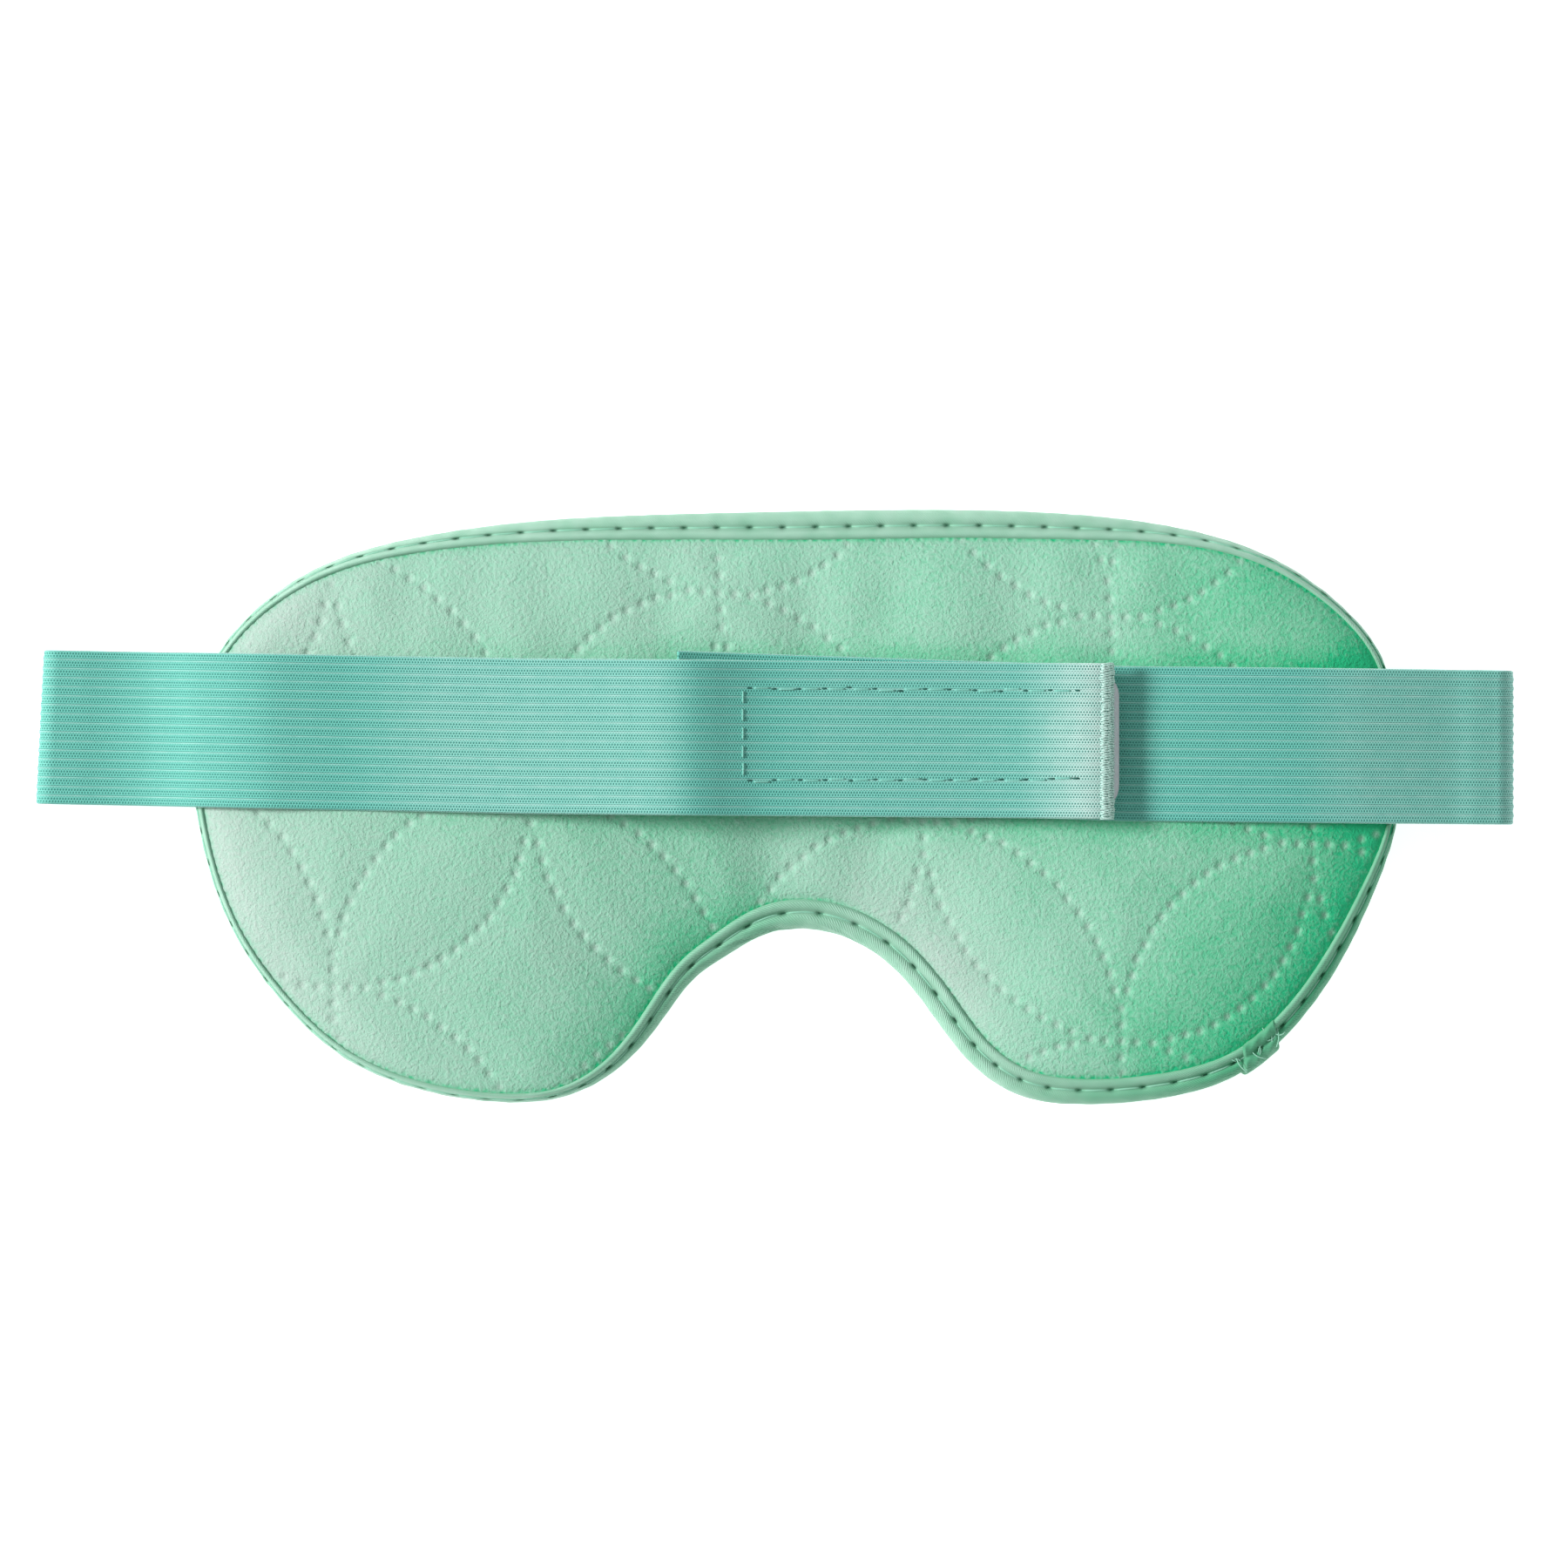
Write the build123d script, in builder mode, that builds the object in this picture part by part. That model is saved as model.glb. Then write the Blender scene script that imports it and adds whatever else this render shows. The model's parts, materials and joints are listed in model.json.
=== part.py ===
"""Padded eye pillow: a quilted, bound mask filled with flaxseed, on two halves of a head strap.

The pillow lies flat with its outer cover on the ground and the quilted side up. X runs along
its length, Y from the cheeks up to the forehead, and Z up. The origin is under the middle of
the whole object. Each strap half leaves a side seam, turns back over the pillow at a fold and
lies across it; the left half ends in a hook patch that closes on the right half's loop patch.
"""

import os
from math import radians, sin

from build123d import *

# Whole pillow
mask_centre_x = 3.6          # the worn-in straps lie a little off the pillow's own centre
outline_top_y = 49.1         # forehead edge on the pillow's axis
ground = 0.0

# Outline, from the middle of the forehead edge round to the nose: radius and turn of each arc
forehead_radius, forehead_turn = 810.0, 3.5
temple_radius, temple_turn = 82.0, 24.8
side_corner_radius, side_corner_turn = 29.5, 52.2
side_radius, side_turn = 59.2, 69.2
cheek_radius, cheek_turn = 37.4, 87.9
nose_flank = 1.7             # straight run between the cheek and the nose arch

# Layers of the bound edge, from the ground up, each lying flat in the seam
fit_gap = 0.05
cover_flange_low, cover_flange_high = 3.6, 4.2
padding_flange_low, padding_flange_high = 4.25, 5.45
backing_flange_low, backing_flange_high = 5.5, 5.9
wadding_flange_low, wadding_flange_high = 5.95, 6.95
face_flange_low, face_flange_high = 7.0, 7.8
flange_inset = 0.65          # the layers stop this far inside the binding's outer edge

# Pillow body inside the bound edge
body_inset = 6.5
body_top = 12.4
body_rounding = 4.2
body_under_rounding = 3.0
cover_thickness = 0.6
padding_thickness = 1.2
face_thickness = 0.8
wadding_thickness = 1.0
backing_thickness = 0.4
bag_thickness = 0.4
bag_rounding = 2.6
chamber_wall = 3.0           # sewn-down strip of the bag between its two chambers

# Edge binding, folded round the layers
binding_width = 5.0
binding_thickness = 0.55
binding_low = cover_flange_low - fit_gap - binding_thickness
binding_high = face_flange_high + fit_gap + binding_thickness
binding_rounding = 1.1
binding_join_place = (77.5, -40.5)
binding_join_angle = 47.0
binding_join_length = 9.0
binding_join_thickness = 0.5
binding_join_margin = 1.0    # stitches stop this far short of the lapped end
trim_height = 4.0            # tall enough to cut or keep anything lying on the binding

# Stitching
thread_width = 0.4
thread_height = 0.25
binding_stitch_pitch = 5.4
binding_stitch_length = 2.6
binding_stitch_inset = 3.0
patch_stitch_pitch = 4.0
patch_stitch_length = 2.4
tack_length = 20.0
tack_width = 1.6
tack_inset = 1.8

# Straps: 25.4 mm (one inch) woven elastic
strap_width = 25.4
strap_thickness = 1.2
strap_y = 11.6               # the straps cross the pillow above its middle
strap_root_low = padding_flange_low
strap_root_depth = 6.3       # length of strap caught in the side seam
strap_slot_play = 0.15
fold_x = 118.6               # where each strap half turns back, either side of the origin
fold_inner_radius = 1.3
fold_axis_z = ground + strap_thickness + fold_inner_radius
fold_clearance = 0.15
ground_run_reach = 5.2       # the strap is down on the ground this far outside the side seam
fold_flat_run = 3.2          # each half is level for this length after its fold
left_climb_end_x = -93.0
right_climb_end_x = 101.0
body_clearance = 0.5
right_strap_low = body_top + body_clearance
right_strap_end_x = -16.1
left_strap_low = right_strap_low
left_step_low_x = -34.0      # the left half steps up here onto the right half
left_step_high_x = -20.0
strap_bend_radius = 8.0
strap_root_bend_radius = 1.6

# Closure at the end of the left half
patch_thickness = 0.8
patch_width = 22.0
patch_corner_radius = 2.0
loop_patch_span = (-14.6, 54.0)
hook_patch_span = (-7.6, 56.0)
hook_tab_start_x = -8.4
hook_tab_end_x = 54.0
hook_stitch_span = (-5.4, 50.4)
hook_stitch_width = 14.4
loop_stitch_inset = 2.6
tab_gap = 0.3
patch_gap = 0.3
loop_patch_low = right_strap_low + strap_thickness + fit_gap
hook_patch_low = loop_patch_low + patch_thickness + patch_gap
hook_tab_low = hook_patch_low + patch_thickness + fit_gap
strap_top = hook_tab_low + strap_thickness


def panel(inset, height):
    """The pillow's outline at a height, drawn in by inset from its outer edge."""
    with BuildSketch(Plane((mask_centre_x, 0, height))) as sketch:
        with BuildLine():
            forehead = JernArc((0, outline_top_y), (1, 0), forehead_radius, -forehead_turn)
            temple = JernArc(forehead @ 1, forehead % 1, temple_radius, -temple_turn)
            side_corner = JernArc(temple @ 1, temple % 1, side_corner_radius, -side_corner_turn)
            side = JernArc(side_corner @ 1, side_corner % 1, side_radius, -side_turn)
            cheek = JernArc(side @ 1, side % 1, cheek_radius, -cheek_turn)
            flank = Line(cheek @ 1, cheek @ 1 + (cheek % 1) * nose_flank)
            whole_turn = forehead_turn + temple_turn + side_corner_turn + side_turn + cheek_turn
            nose_turn = whole_turn - 180
            nose_radius = (flank @ 1).X / sin(radians(nose_turn))
            JernArc(flank @ 1, flank % 1, nose_radius, nose_turn)
            mirror(about=Plane.YZ)
        make_face()
        if inset > 0:
            offset(amount=-inset)
    return sketch.sketch


def slab(inset, low, high):
    """A flat layer of the pillow's outline between two heights."""
    with BuildPart() as layer:
        add(panel(inset, low))
        extrude(amount=high - low)
    return layer.part


def body_block(inset, low, high, top_rounding=0.0, under_rounding=0.0):
    """A block of the pillow's outline with rounded upper and lower rims."""
    with BuildPart() as block:
        add(panel(inset, low))
        extrude(amount=high - low)
        if top_rounding > 0:
            fillet(block.faces().sort_by(Axis.Z)[-1].edges(), radius=top_rounding)
        if under_rounding > 0:
            fillet(block.faces().sort_by(Axis.Z)[0].edges(), radius=under_rounding)
    return block.part


def seam_opening(side, play):
    """The space that a strap's root takes in the bound edge, on side -1 (left) or 1 (right)."""
    edge_x = side_edge(side)
    inner_x = edge_x - side * (strap_root_depth + play)
    outer_x = edge_x + side * binding_width
    with BuildPart() as opening:
        with Locations(((inner_x + outer_x) / 2, strap_y, strap_root_low + strap_thickness / 2)):
            Box(abs(outer_x - inner_x), strap_width + 2 * play, strap_thickness + 2 * play)
    return opening.part


def side_edge(side):
    """X of the pillow's outer edge at one end, -1 (left) or 1 (right)."""
    box = panel(0, ground).bounding_box()
    return box.min.X if side < 0 else box.max.X


def strap_profile(points, bend_radius):
    """The side view of a strap whose middle layer follows the points, on the strap's centre."""
    with BuildSketch(Plane.XZ.offset(-strap_y)) as sketch:
        with BuildLine():
            FilletPolyline(*points, radius=bend_radius)
        trace(line_width=strap_thickness)
    return sketch.sketch


def stitches_along(wire, pitch, length, height):
    """Short flat thread bars lying at a height along a closed wire."""
    count = round(wire.length / pitch)
    with BuildPart() as row:
        for number in range(count):
            place = wire.position_at(number / count)
            heading = wire.tangent_at(number / count)
            along = Plane(origin=(place.X, place.Y, height), x_dir=heading, z_dir=(0, 0, 1))
            with Locations(along):
                Box(length, thread_width, thread_height, align=(Align.CENTER, Align.CENTER, Align.MIN))
    return row.part


def patch_outline(span, width, height):
    """A rounded oblong across the strap between two X values."""
    with BuildSketch(Plane(((span[0] + span[1]) / 2, strap_y, height))) as sketch:
        RectangleRounded(span[1] - span[0], width, patch_corner_radius)
    return sketch.sketch


def tack_place(side):
    """Where the bar tack crosses the strap's root, under the binding."""
    return (side_edge(side) - side * tack_inset, strap_y, binding_low - thread_height)


os.makedirs("parts", exist_ok=True)
right_edge = side_edge(1)

# Outer cover: the plain panel that faces away from the eyes, with a tray for the filling
with BuildPart() as outer_cover:
    add(slab(flange_inset, cover_flange_low, cover_flange_high))
    add(body_block(body_inset, ground, cover_flange_high, under_rounding=body_under_rounding))
    add(
        body_block(body_inset + cover_thickness, ground + cover_thickness, cover_flange_high,
                   under_rounding=body_under_rounding - cover_thickness),
        mode=Mode.SUBTRACT,
    )
outer_cover.part.label = "outer_cover"
export_step(outer_cover.part, "parts/outer_cover.step")

# Front padding: soft lining inside the outer cover
padding_inset = body_inset + cover_thickness + fit_gap
padding_low = ground + cover_thickness + fit_gap
padding_under_rounding = body_under_rounding - cover_thickness - fit_gap
with BuildPart() as front_padding:
    add(slab(flange_inset, padding_flange_low, padding_flange_high))
    add(body_block(padding_inset, padding_low, padding_flange_high,
                   under_rounding=padding_under_rounding))
    add(
        body_block(padding_inset + padding_thickness, padding_low + padding_thickness,
                   padding_flange_high,
                   under_rounding=padding_under_rounding - padding_thickness),
        mode=Mode.SUBTRACT,
    )
    add(seam_opening(-1, strap_slot_play), mode=Mode.SUBTRACT)
    add(seam_opening(1, strap_slot_play), mode=Mode.SUBTRACT)
front_padding.part.label = "front_padding"
export_step(front_padding.part, "parts/front_padding.step")

# Quilted face and its two inner layers, each a tray turned upside down inside the one above
face_under_inset = body_inset + face_thickness
wadding_inset = face_under_inset + fit_gap
wadding_top = body_top - face_thickness - fit_gap
wadding_under_inset = wadding_inset + wadding_thickness
backing_inset = wadding_under_inset + fit_gap
backing_top = wadding_top - wadding_thickness - fit_gap
backing_under_inset = backing_inset + backing_thickness
cavity_top = backing_top - backing_thickness

with BuildPart() as quilted_face:
    add(slab(flange_inset, face_flange_low, face_flange_high))
    add(body_block(body_inset, face_flange_low, body_top, top_rounding=body_rounding))
    add(
        body_block(face_under_inset, face_flange_low, body_top - face_thickness,
                   top_rounding=body_rounding - face_thickness),
        mode=Mode.SUBTRACT,
    )
quilted_face.part.label = "quilted_face"
export_step(quilted_face.part, "parts/quilted_face.step")

with BuildPart() as quilt_wadding:
    add(slab(flange_inset, wadding_flange_low, wadding_flange_high))
    add(body_block(wadding_inset, wadding_flange_low, wadding_top,
                   top_rounding=body_rounding - face_thickness - fit_gap))
    add(
        body_block(wadding_under_inset, wadding_flange_low, wadding_top - wadding_thickness,
                   top_rounding=body_rounding - face_thickness - wadding_thickness),
        mode=Mode.SUBTRACT,
    )
quilt_wadding.part.label = "quilt_wadding"
export_step(quilt_wadding.part, "parts/quilt_wadding.step")

with BuildPart() as quilt_backing:
    add(slab(flange_inset, backing_flange_low, backing_flange_high))
    add(body_block(backing_inset, backing_flange_low, backing_top,
                   top_rounding=body_rounding - face_thickness - wadding_thickness - fit_gap))
    add(
        body_block(backing_under_inset, backing_flange_low, cavity_top,
                   top_rounding=body_rounding - face_thickness - wadding_thickness
                   - backing_thickness),
        mode=Mode.SUBTRACT,
    )
quilt_backing.part.label = "quilt_backing"
export_step(quilt_backing.part, "parts/quilt_backing.step")

# Inner bag: a closed cotton bag sewn down its middle into two chambers
bag_inset = max(backing_under_inset, padding_inset + padding_thickness) + fit_gap
bag_low = padding_low + padding_thickness + fit_gap
bag_high = cavity_top - fit_gap
chamber_inset = bag_inset + bag_thickness
chamber_low = bag_low + bag_thickness
chamber_high = bag_high - bag_thickness
chamber_rounding = bag_rounding - bag_thickness
half_length = right_edge - mask_centre_x
with BuildPart() as inner_bag:
    add(body_block(bag_inset, bag_low, bag_high, bag_rounding, bag_rounding))
    with BuildPart(mode=Mode.PRIVATE) as chambers:
        add(body_block(chamber_inset, chamber_low, chamber_high, chamber_rounding,
                       chamber_rounding))
        with Locations((mask_centre_x, 0, (chamber_low + chamber_high) / 2)):
            Box(chamber_wall, 2 * half_length, body_top, mode=Mode.SUBTRACT)
    add(chambers.part, mode=Mode.SUBTRACT)
inner_bag.part.label = "inner_bag"
export_step(inner_bag.part, "parts/inner_bag.step")

# Flaxseed filling: one loose mass in each chamber
fill_box_centre = (half_length + chamber_wall / 2 + fit_gap) / 2
for side, name in ((-1, "flaxseed_fill_left"), (1, "flaxseed_fill_right")):
    with BuildPart() as flaxseed_fill:
        add(body_block(chamber_inset + fit_gap, chamber_low + fit_gap, chamber_high - fit_gap,
                       chamber_rounding - fit_gap, chamber_rounding - fit_gap))
        with Locations((mask_centre_x + side * fill_box_centre, 0, body_top / 2)):
            Box(half_length - chamber_wall / 2 - fit_gap, 2 * half_length, 2 * body_top,
                mode=Mode.INTERSECT)
    flaxseed_fill.part.label = name
    export_step(flaxseed_fill.part, f"parts/{name}.step")

# Edge binding: a tape folded round the raw edge, with a slit at each end for the strap
with BuildPart() as edge_binding:
    add(body_block(0, binding_low, binding_high, binding_rounding, binding_rounding))
    add(slab(binding_thickness, binding_low + binding_thickness, binding_high - binding_thickness),
        mode=Mode.SUBTRACT)
    add(slab(binding_width, binding_low, binding_high), mode=Mode.SUBTRACT)
    add(seam_opening(-1, strap_slot_play), mode=Mode.SUBTRACT)
    add(seam_opening(1, strap_slot_play), mode=Mode.SUBTRACT)
edge_binding.part.label = "edge_binding"
export_step(edge_binding.part, "parts/edge_binding.step")

# Binding join: the tape's own end, turned in and lapped over its start on the right cheek
with BuildPart() as binding_join:
    add(slab(fit_gap, binding_high + fit_gap, binding_high + fit_gap + binding_join_thickness))
    add(slab(binding_width, binding_high, binding_high + trim_height), mode=Mode.SUBTRACT)
    join_plane = Plane(
        origin=(mask_centre_x + binding_join_place[0], binding_join_place[1], binding_high)
    ).rotated((0, 0, binding_join_angle))
    with Locations(join_plane):
        Box(binding_join_length, 3 * binding_width, trim_height, mode=Mode.INTERSECT)
binding_join.part.label = "binding_join"
export_step(binding_join.part, "parts/binding_join.step")

# Binding stitching: one round of running stitches through the binding's upper leg
with BuildPart() as binding_stitching:
    add(stitches_along(panel(binding_stitch_inset, ground).faces()[0].outer_wire(),
                       binding_stitch_pitch, binding_stitch_length, binding_high))
    with Locations(join_plane):
        Box(binding_join_length + 2 * binding_join_margin, 3 * binding_width, trim_height,
            mode=Mode.SUBTRACT)
binding_stitching.part.label = "binding_stitching"
export_step(binding_stitching.part, "parts/binding_stitching.step")

# Fixed runs of the two strap halves: from the seam down to the ground and out to the fold
for side, name in ((-1, "left_strap_fixed_run"), (1, "right_strap_fixed_run")):
    edge_x = side_edge(side)
    ground_run_middle = ground + strap_thickness / 2
    strap_root_middle = strap_root_low + strap_thickness / 2
    run = [
        (side * (fold_x - fold_clearance), ground_run_middle),
        (edge_x + side * ground_run_reach, ground_run_middle),
        (edge_x, strap_root_middle),
        (edge_x - side * strap_root_depth, strap_root_middle),
    ]
    with BuildPart() as fixed_run:
        extrude(strap_profile(run, strap_root_bend_radius), amount=strap_width / 2,
                dir=(0, 1, 0), both=True)
    fixed_run.part.label = name
    export_step(fixed_run.part, f"parts/{name}.step")

# Bar tacks: dense stitching that holds each strap's root in the seam
for side, name in ((-1, "left_strap_tack"), (1, "right_strap_tack")):
    with BuildPart() as tack:
        with Locations(tack_place(side)):
            Box(tack_width, tack_length, thread_height,
                align=(Align.CENTER, Align.CENTER, Align.MIN))
    tack.part.label = name
    export_step(tack.part, f"parts/{name}.step")

# Left strap half: from its fold up over the pillow, then up onto the right half
fold_top_middle = fold_axis_z + fold_inner_radius + strap_thickness / 2
left_strap_middle = left_strap_low + strap_thickness / 2
hook_tab_middle = hook_tab_low + strap_thickness / 2
left_route = [
    (-fold_x + fold_clearance, fold_top_middle),
    (-fold_x + fold_flat_run, fold_top_middle),
    (left_climb_end_x, left_strap_middle),
    (left_step_low_x, left_strap_middle),
    (left_step_high_x, hook_tab_middle),
    (hook_tab_start_x - tab_gap, hook_tab_middle),
]
with BuildPart() as left_strap:
    extrude(strap_profile(left_route, strap_bend_radius), amount=strap_width / 2,
            dir=(0, 1, 0), both=True)
left_strap.part.label = "left_strap"
export_step(left_strap.part, "parts/left_strap.step")

# Hook tab: the end of the left half, which peels back off the right half
with BuildPart() as hook_tab:
    with Locations((hook_tab_start_x, strap_y, hook_tab_low)):
        Box(hook_tab_end_x - hook_tab_start_x, strap_width, strap_thickness,
            align=(Align.MIN, Align.CENTER, Align.MIN))
hook_tab.part.label = "hook_tab"
export_step(hook_tab.part, "parts/hook_tab.step")

# Hook patch: stiff hook tape under the tab, showing just past the tab's end
with BuildPart() as hook_patch:
    add(patch_outline(hook_patch_span, patch_width, hook_patch_low))
    extrude(amount=patch_thickness)
hook_patch.part.label = "hook_patch"
export_step(hook_patch.part, "parts/hook_patch.step")

# Hook patch stitching: seen on the top of the tab
hook_stitch_frame = patch_outline(hook_stitch_span, hook_stitch_width, ground)
with BuildPart() as hook_patch_stitching:
    add(stitches_along(hook_stitch_frame.faces()[0].outer_wire(), patch_stitch_pitch,
                       patch_stitch_length, strap_top))
hook_patch_stitching.part.label = "hook_patch_stitching"
export_step(hook_patch_stitching.part, "parts/hook_patch_stitching.step")

# Right strap half: from its fold up over the pillow, under the left half
right_strap_middle = right_strap_low + strap_thickness / 2
right_route = [
    (fold_x - fold_clearance, fold_top_middle),
    (fold_x - fold_flat_run, fold_top_middle),
    (right_climb_end_x, right_strap_middle),
    (right_strap_end_x, right_strap_middle),
]
with BuildPart() as right_strap:
    extrude(strap_profile(right_route, strap_bend_radius), amount=strap_width / 2,
            dir=(0, 1, 0), both=True)
right_strap.part.label = "right_strap"
export_step(right_strap.part, "parts/right_strap.step")

# Loop patch: soft loop tape on the upper side of the right half
with BuildPart() as loop_patch:
    add(patch_outline(loop_patch_span, patch_width, loop_patch_low))
    extrude(amount=patch_thickness)
loop_patch.part.label = "loop_patch"
export_step(loop_patch.part, "parts/loop_patch.step")

# Loop patch stitching: its lower thread, seen on the underside of the right half
loop_stitch_span = (loop_patch_span[0] + loop_stitch_inset, loop_patch_span[1] - loop_stitch_inset)
loop_stitch_frame = patch_outline(loop_stitch_span, patch_width - 2 * loop_stitch_inset, ground)
with BuildPart() as loop_patch_stitching:
    add(stitches_along(loop_stitch_frame.faces()[0].outer_wire(), patch_stitch_pitch,
                       patch_stitch_length, right_strap_low - thread_height))
loop_patch_stitching.part.label = "loop_patch_stitching"
export_step(loop_patch_stitching.part, "parts/loop_patch_stitching.step")
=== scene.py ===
"""Looks of a padded eye pillow on an elastic strap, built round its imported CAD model.

Lengths are in millimetres until a mesh is made, then in metres. X runs along the pillow, Y from
the nose to the forehead and Z up. The pillow lies on the floor with its quilted side up.
"""

import json
import math

import bpy
import numpy as np
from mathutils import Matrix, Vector
from mathutils.geometry import delaunay_2d_cdt


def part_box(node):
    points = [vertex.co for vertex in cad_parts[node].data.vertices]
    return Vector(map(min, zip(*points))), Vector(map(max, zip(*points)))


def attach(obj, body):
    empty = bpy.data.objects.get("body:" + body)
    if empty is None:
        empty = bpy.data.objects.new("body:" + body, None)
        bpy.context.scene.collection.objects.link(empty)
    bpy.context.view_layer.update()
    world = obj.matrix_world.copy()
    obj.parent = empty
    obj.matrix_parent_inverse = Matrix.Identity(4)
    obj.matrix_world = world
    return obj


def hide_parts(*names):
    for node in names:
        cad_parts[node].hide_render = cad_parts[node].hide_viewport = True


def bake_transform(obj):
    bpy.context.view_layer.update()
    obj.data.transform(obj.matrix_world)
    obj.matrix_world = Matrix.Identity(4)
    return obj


MM = 0.001
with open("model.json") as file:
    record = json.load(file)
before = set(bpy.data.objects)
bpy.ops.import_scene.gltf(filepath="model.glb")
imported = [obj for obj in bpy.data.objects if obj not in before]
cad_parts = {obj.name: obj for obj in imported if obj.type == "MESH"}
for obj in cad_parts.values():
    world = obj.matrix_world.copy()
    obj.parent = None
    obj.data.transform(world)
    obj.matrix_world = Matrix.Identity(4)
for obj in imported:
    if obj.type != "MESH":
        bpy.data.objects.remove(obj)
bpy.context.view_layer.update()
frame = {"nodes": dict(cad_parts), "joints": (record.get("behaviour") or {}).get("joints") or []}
dice = np.random.default_rng(7)


def node_box(name):
    """Lowest and highest corner of a CAD node, in millimetres."""
    low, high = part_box(name)
    return np.array(low) / MM, np.array(high) / MM


# ---- sizes taken from the frame
BINDING_LOW, BINDING_HIGH = node_box("edge_binding")
LEFT_LOW, LEFT_HIGH = node_box("left_strap")
RIGHT_HIGH = node_box("right_strap")[1]
TAB_LOW, TAB_HIGH = node_box("hook_tab")
HOOK_LOW, HOOK_HIGH = node_box("hook_patch")
LOOP_LOW, LOOP_HIGH = node_box("loop_patch")
joints = {joint["name"]: joint for joint in frame["joints"]}
LEFT_HINGE, RIGHT_HINGE, PEEL_HINGE = (
    np.array(joints[name]["pos_m"]) / MM
    for name in ("left_strap_fold", "right_strap_fold", "tab_peel"))

STRAP_WIDTH = LEFT_HIGH[1] - LEFT_LOW[1]
STRAP_THICKNESS = 1.0
LOOP_OVERHANG = 2.4          # how far the folds reach past their hinges
GROUND_MIDDLE_Z = 0.6

# Edge of the pillow, clockwise from the forehead: X, Y and how much of the binding's upper side
# is seen from above. At the sides the edge is turned down, so that little of it shows.
OUTLINE = [
    (5.0, 48.7, 4.6), (30.0, 48.9, 4.5), (50.0, 48.1, 4.0), (67.0, 45.8, 2.6),
    (81.0, 41.3, 1.7), (92.5, 33.6, 1.4), (99.5, 25.0, 1.3), (102.4, 12.0, 1.3),
    (101.8, -4.0, 1.6), (98.4, -14.0, 2.2), (92.7, -25.8, 2.9), (84.5, -37.0, 3.2),
    (75.6, -44.2, 3.7), (64.0, -47.8, 4.0), (51.0, -48.9, 4.1), (40.5, -47.6, 4.4),
    (32.5, -42.6, 4.4), (25.5, -33.9, 4.4), (19.0, -26.2, 4.5), (12.3, -21.8, 4.6),
    (4.6, -20.0, 4.7), (-1.8, -20.9, 4.3), (-7.8, -24.2, 3.9), (-12.8, -27.6, 3.5),
    (-18.6, -34.8, 3.1), (-25.3, -42.4, 2.4), (-34.5, -47.5, 1.6), (-46.0, -48.5, 1.4),
    (-59.0, -46.4, 1.4), (-71.0, -41.3, 1.4), (-81.5, -31.8, 1.3), (-89.8, -19.5, 1.2),
    (-94.5, -5.5, 1.2), (-96.1, 8.0, 1.2), (-93.3, 22.5, 1.2), (-86.0, 32.2, 1.4),
    (-75.0, 39.6, 1.8), (-58.0, 44.6, 2.5), (-38.0, 47.2, 3.4), (-17.0, 48.2, 4.1),
]
OUTLINE_STEP = 0.25


# ---- curves and meshes
def smooth_loop(points, step):
    """Evenly spaced points on the smooth closed curve through the given ones. Columns after the
    first two are carried along."""
    knots = np.array(points, float)
    size = len(knots)
    after = np.linalg.norm(np.roll(knots, -1, 0)[:, :2] - knots[:, :2], axis=1)
    before = np.roll(after, 1)
    matrix = np.zeros((size, size))
    rise = np.roll(knots, -1, 0) - knots
    slope_change = rise / after[:, None] - np.roll(rise, 1, 0) / before[:, None]
    for k in range(size):
        matrix[k, k - 1] += before[k]
        matrix[k, k] += 2 * (before[k] + after[k])
        matrix[k, (k + 1) % size] += after[k]
    bend = np.linalg.solve(matrix, 6 * slope_change)
    dense = []
    share = np.linspace(0, 1, 24, endpoint=False)[:, None]
    for k in range(size):
        span, t = after[k], share * after[k]
        bend_here, bend_next = bend[k], bend[(k + 1) % size]
        slope = rise[k] / span - span * (2 * bend_here + bend_next) / 6
        dense.append(knots[k] + slope * t + bend_here / 2 * t**2
                     + (bend_next - bend_here) / (6 * span) * t**3)
    return even_loop(np.vstack(dense), step)


def even_loop(points, step):
    """The closed line through points, divided evenly."""
    closed = np.vstack([points, points[:1]])
    run = run_along(closed[:, :2])
    count = int(round(run[-1] / step))
    return points_at(np.linspace(0, run[-1], count, endpoint=False), run, closed)


def curve_through(padded, steps):
    """Points of the smooth curve through all but the first and last of the given points, which
    only set its direction at its ends."""
    t = np.linspace(0, 1, steps, endpoint=False)[:, None]
    rows = []
    for a, b, c, d in zip(padded, padded[1:], padded[2:], padded[3:]):
        rows.append(0.5 * (2 * b + (c - a) * t + (2 * a - 5 * b + 4 * c - d) * t**2
                           + (3 * b - a - 3 * c + d) * t**3))
    return np.vstack(rows + [padded[-2:-1]])


def run_along(points):
    """Distance from the first point to each, along the line through them."""
    return np.r_[0, np.cumsum(np.linalg.norm(np.diff(points, axis=0), axis=1))]


def points_at(places, run, points):
    """Points at places along a line, of whose own points the distances along it are run."""
    return np.column_stack([np.interp(places, run, column) for column in points.T])


def smooth_path(points, spacing):
    """Points on the smooth open curve through the given ones, spacing(x) apart."""
    knots = np.array(points, float)
    before, after = 2 * knots[0] - knots[1], 2 * knots[-1] - knots[-2]
    dense = curve_through(np.vstack([before, knots, after]), 60)
    run = run_along(dense)
    places = [0.0]
    while places[-1] < run[-1]:
        x = np.interp(places[-1], run, dense[:, 0])
        places.append(places[-1] + spacing(x))
    return points_at(np.array(places) * run[-1] / places[-1], run, dense)


def smoothstep(low, high, value):
    t = np.clip((value - low) / (high - low), 0, 1)
    return t * t * (3 - 2 * t)


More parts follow.
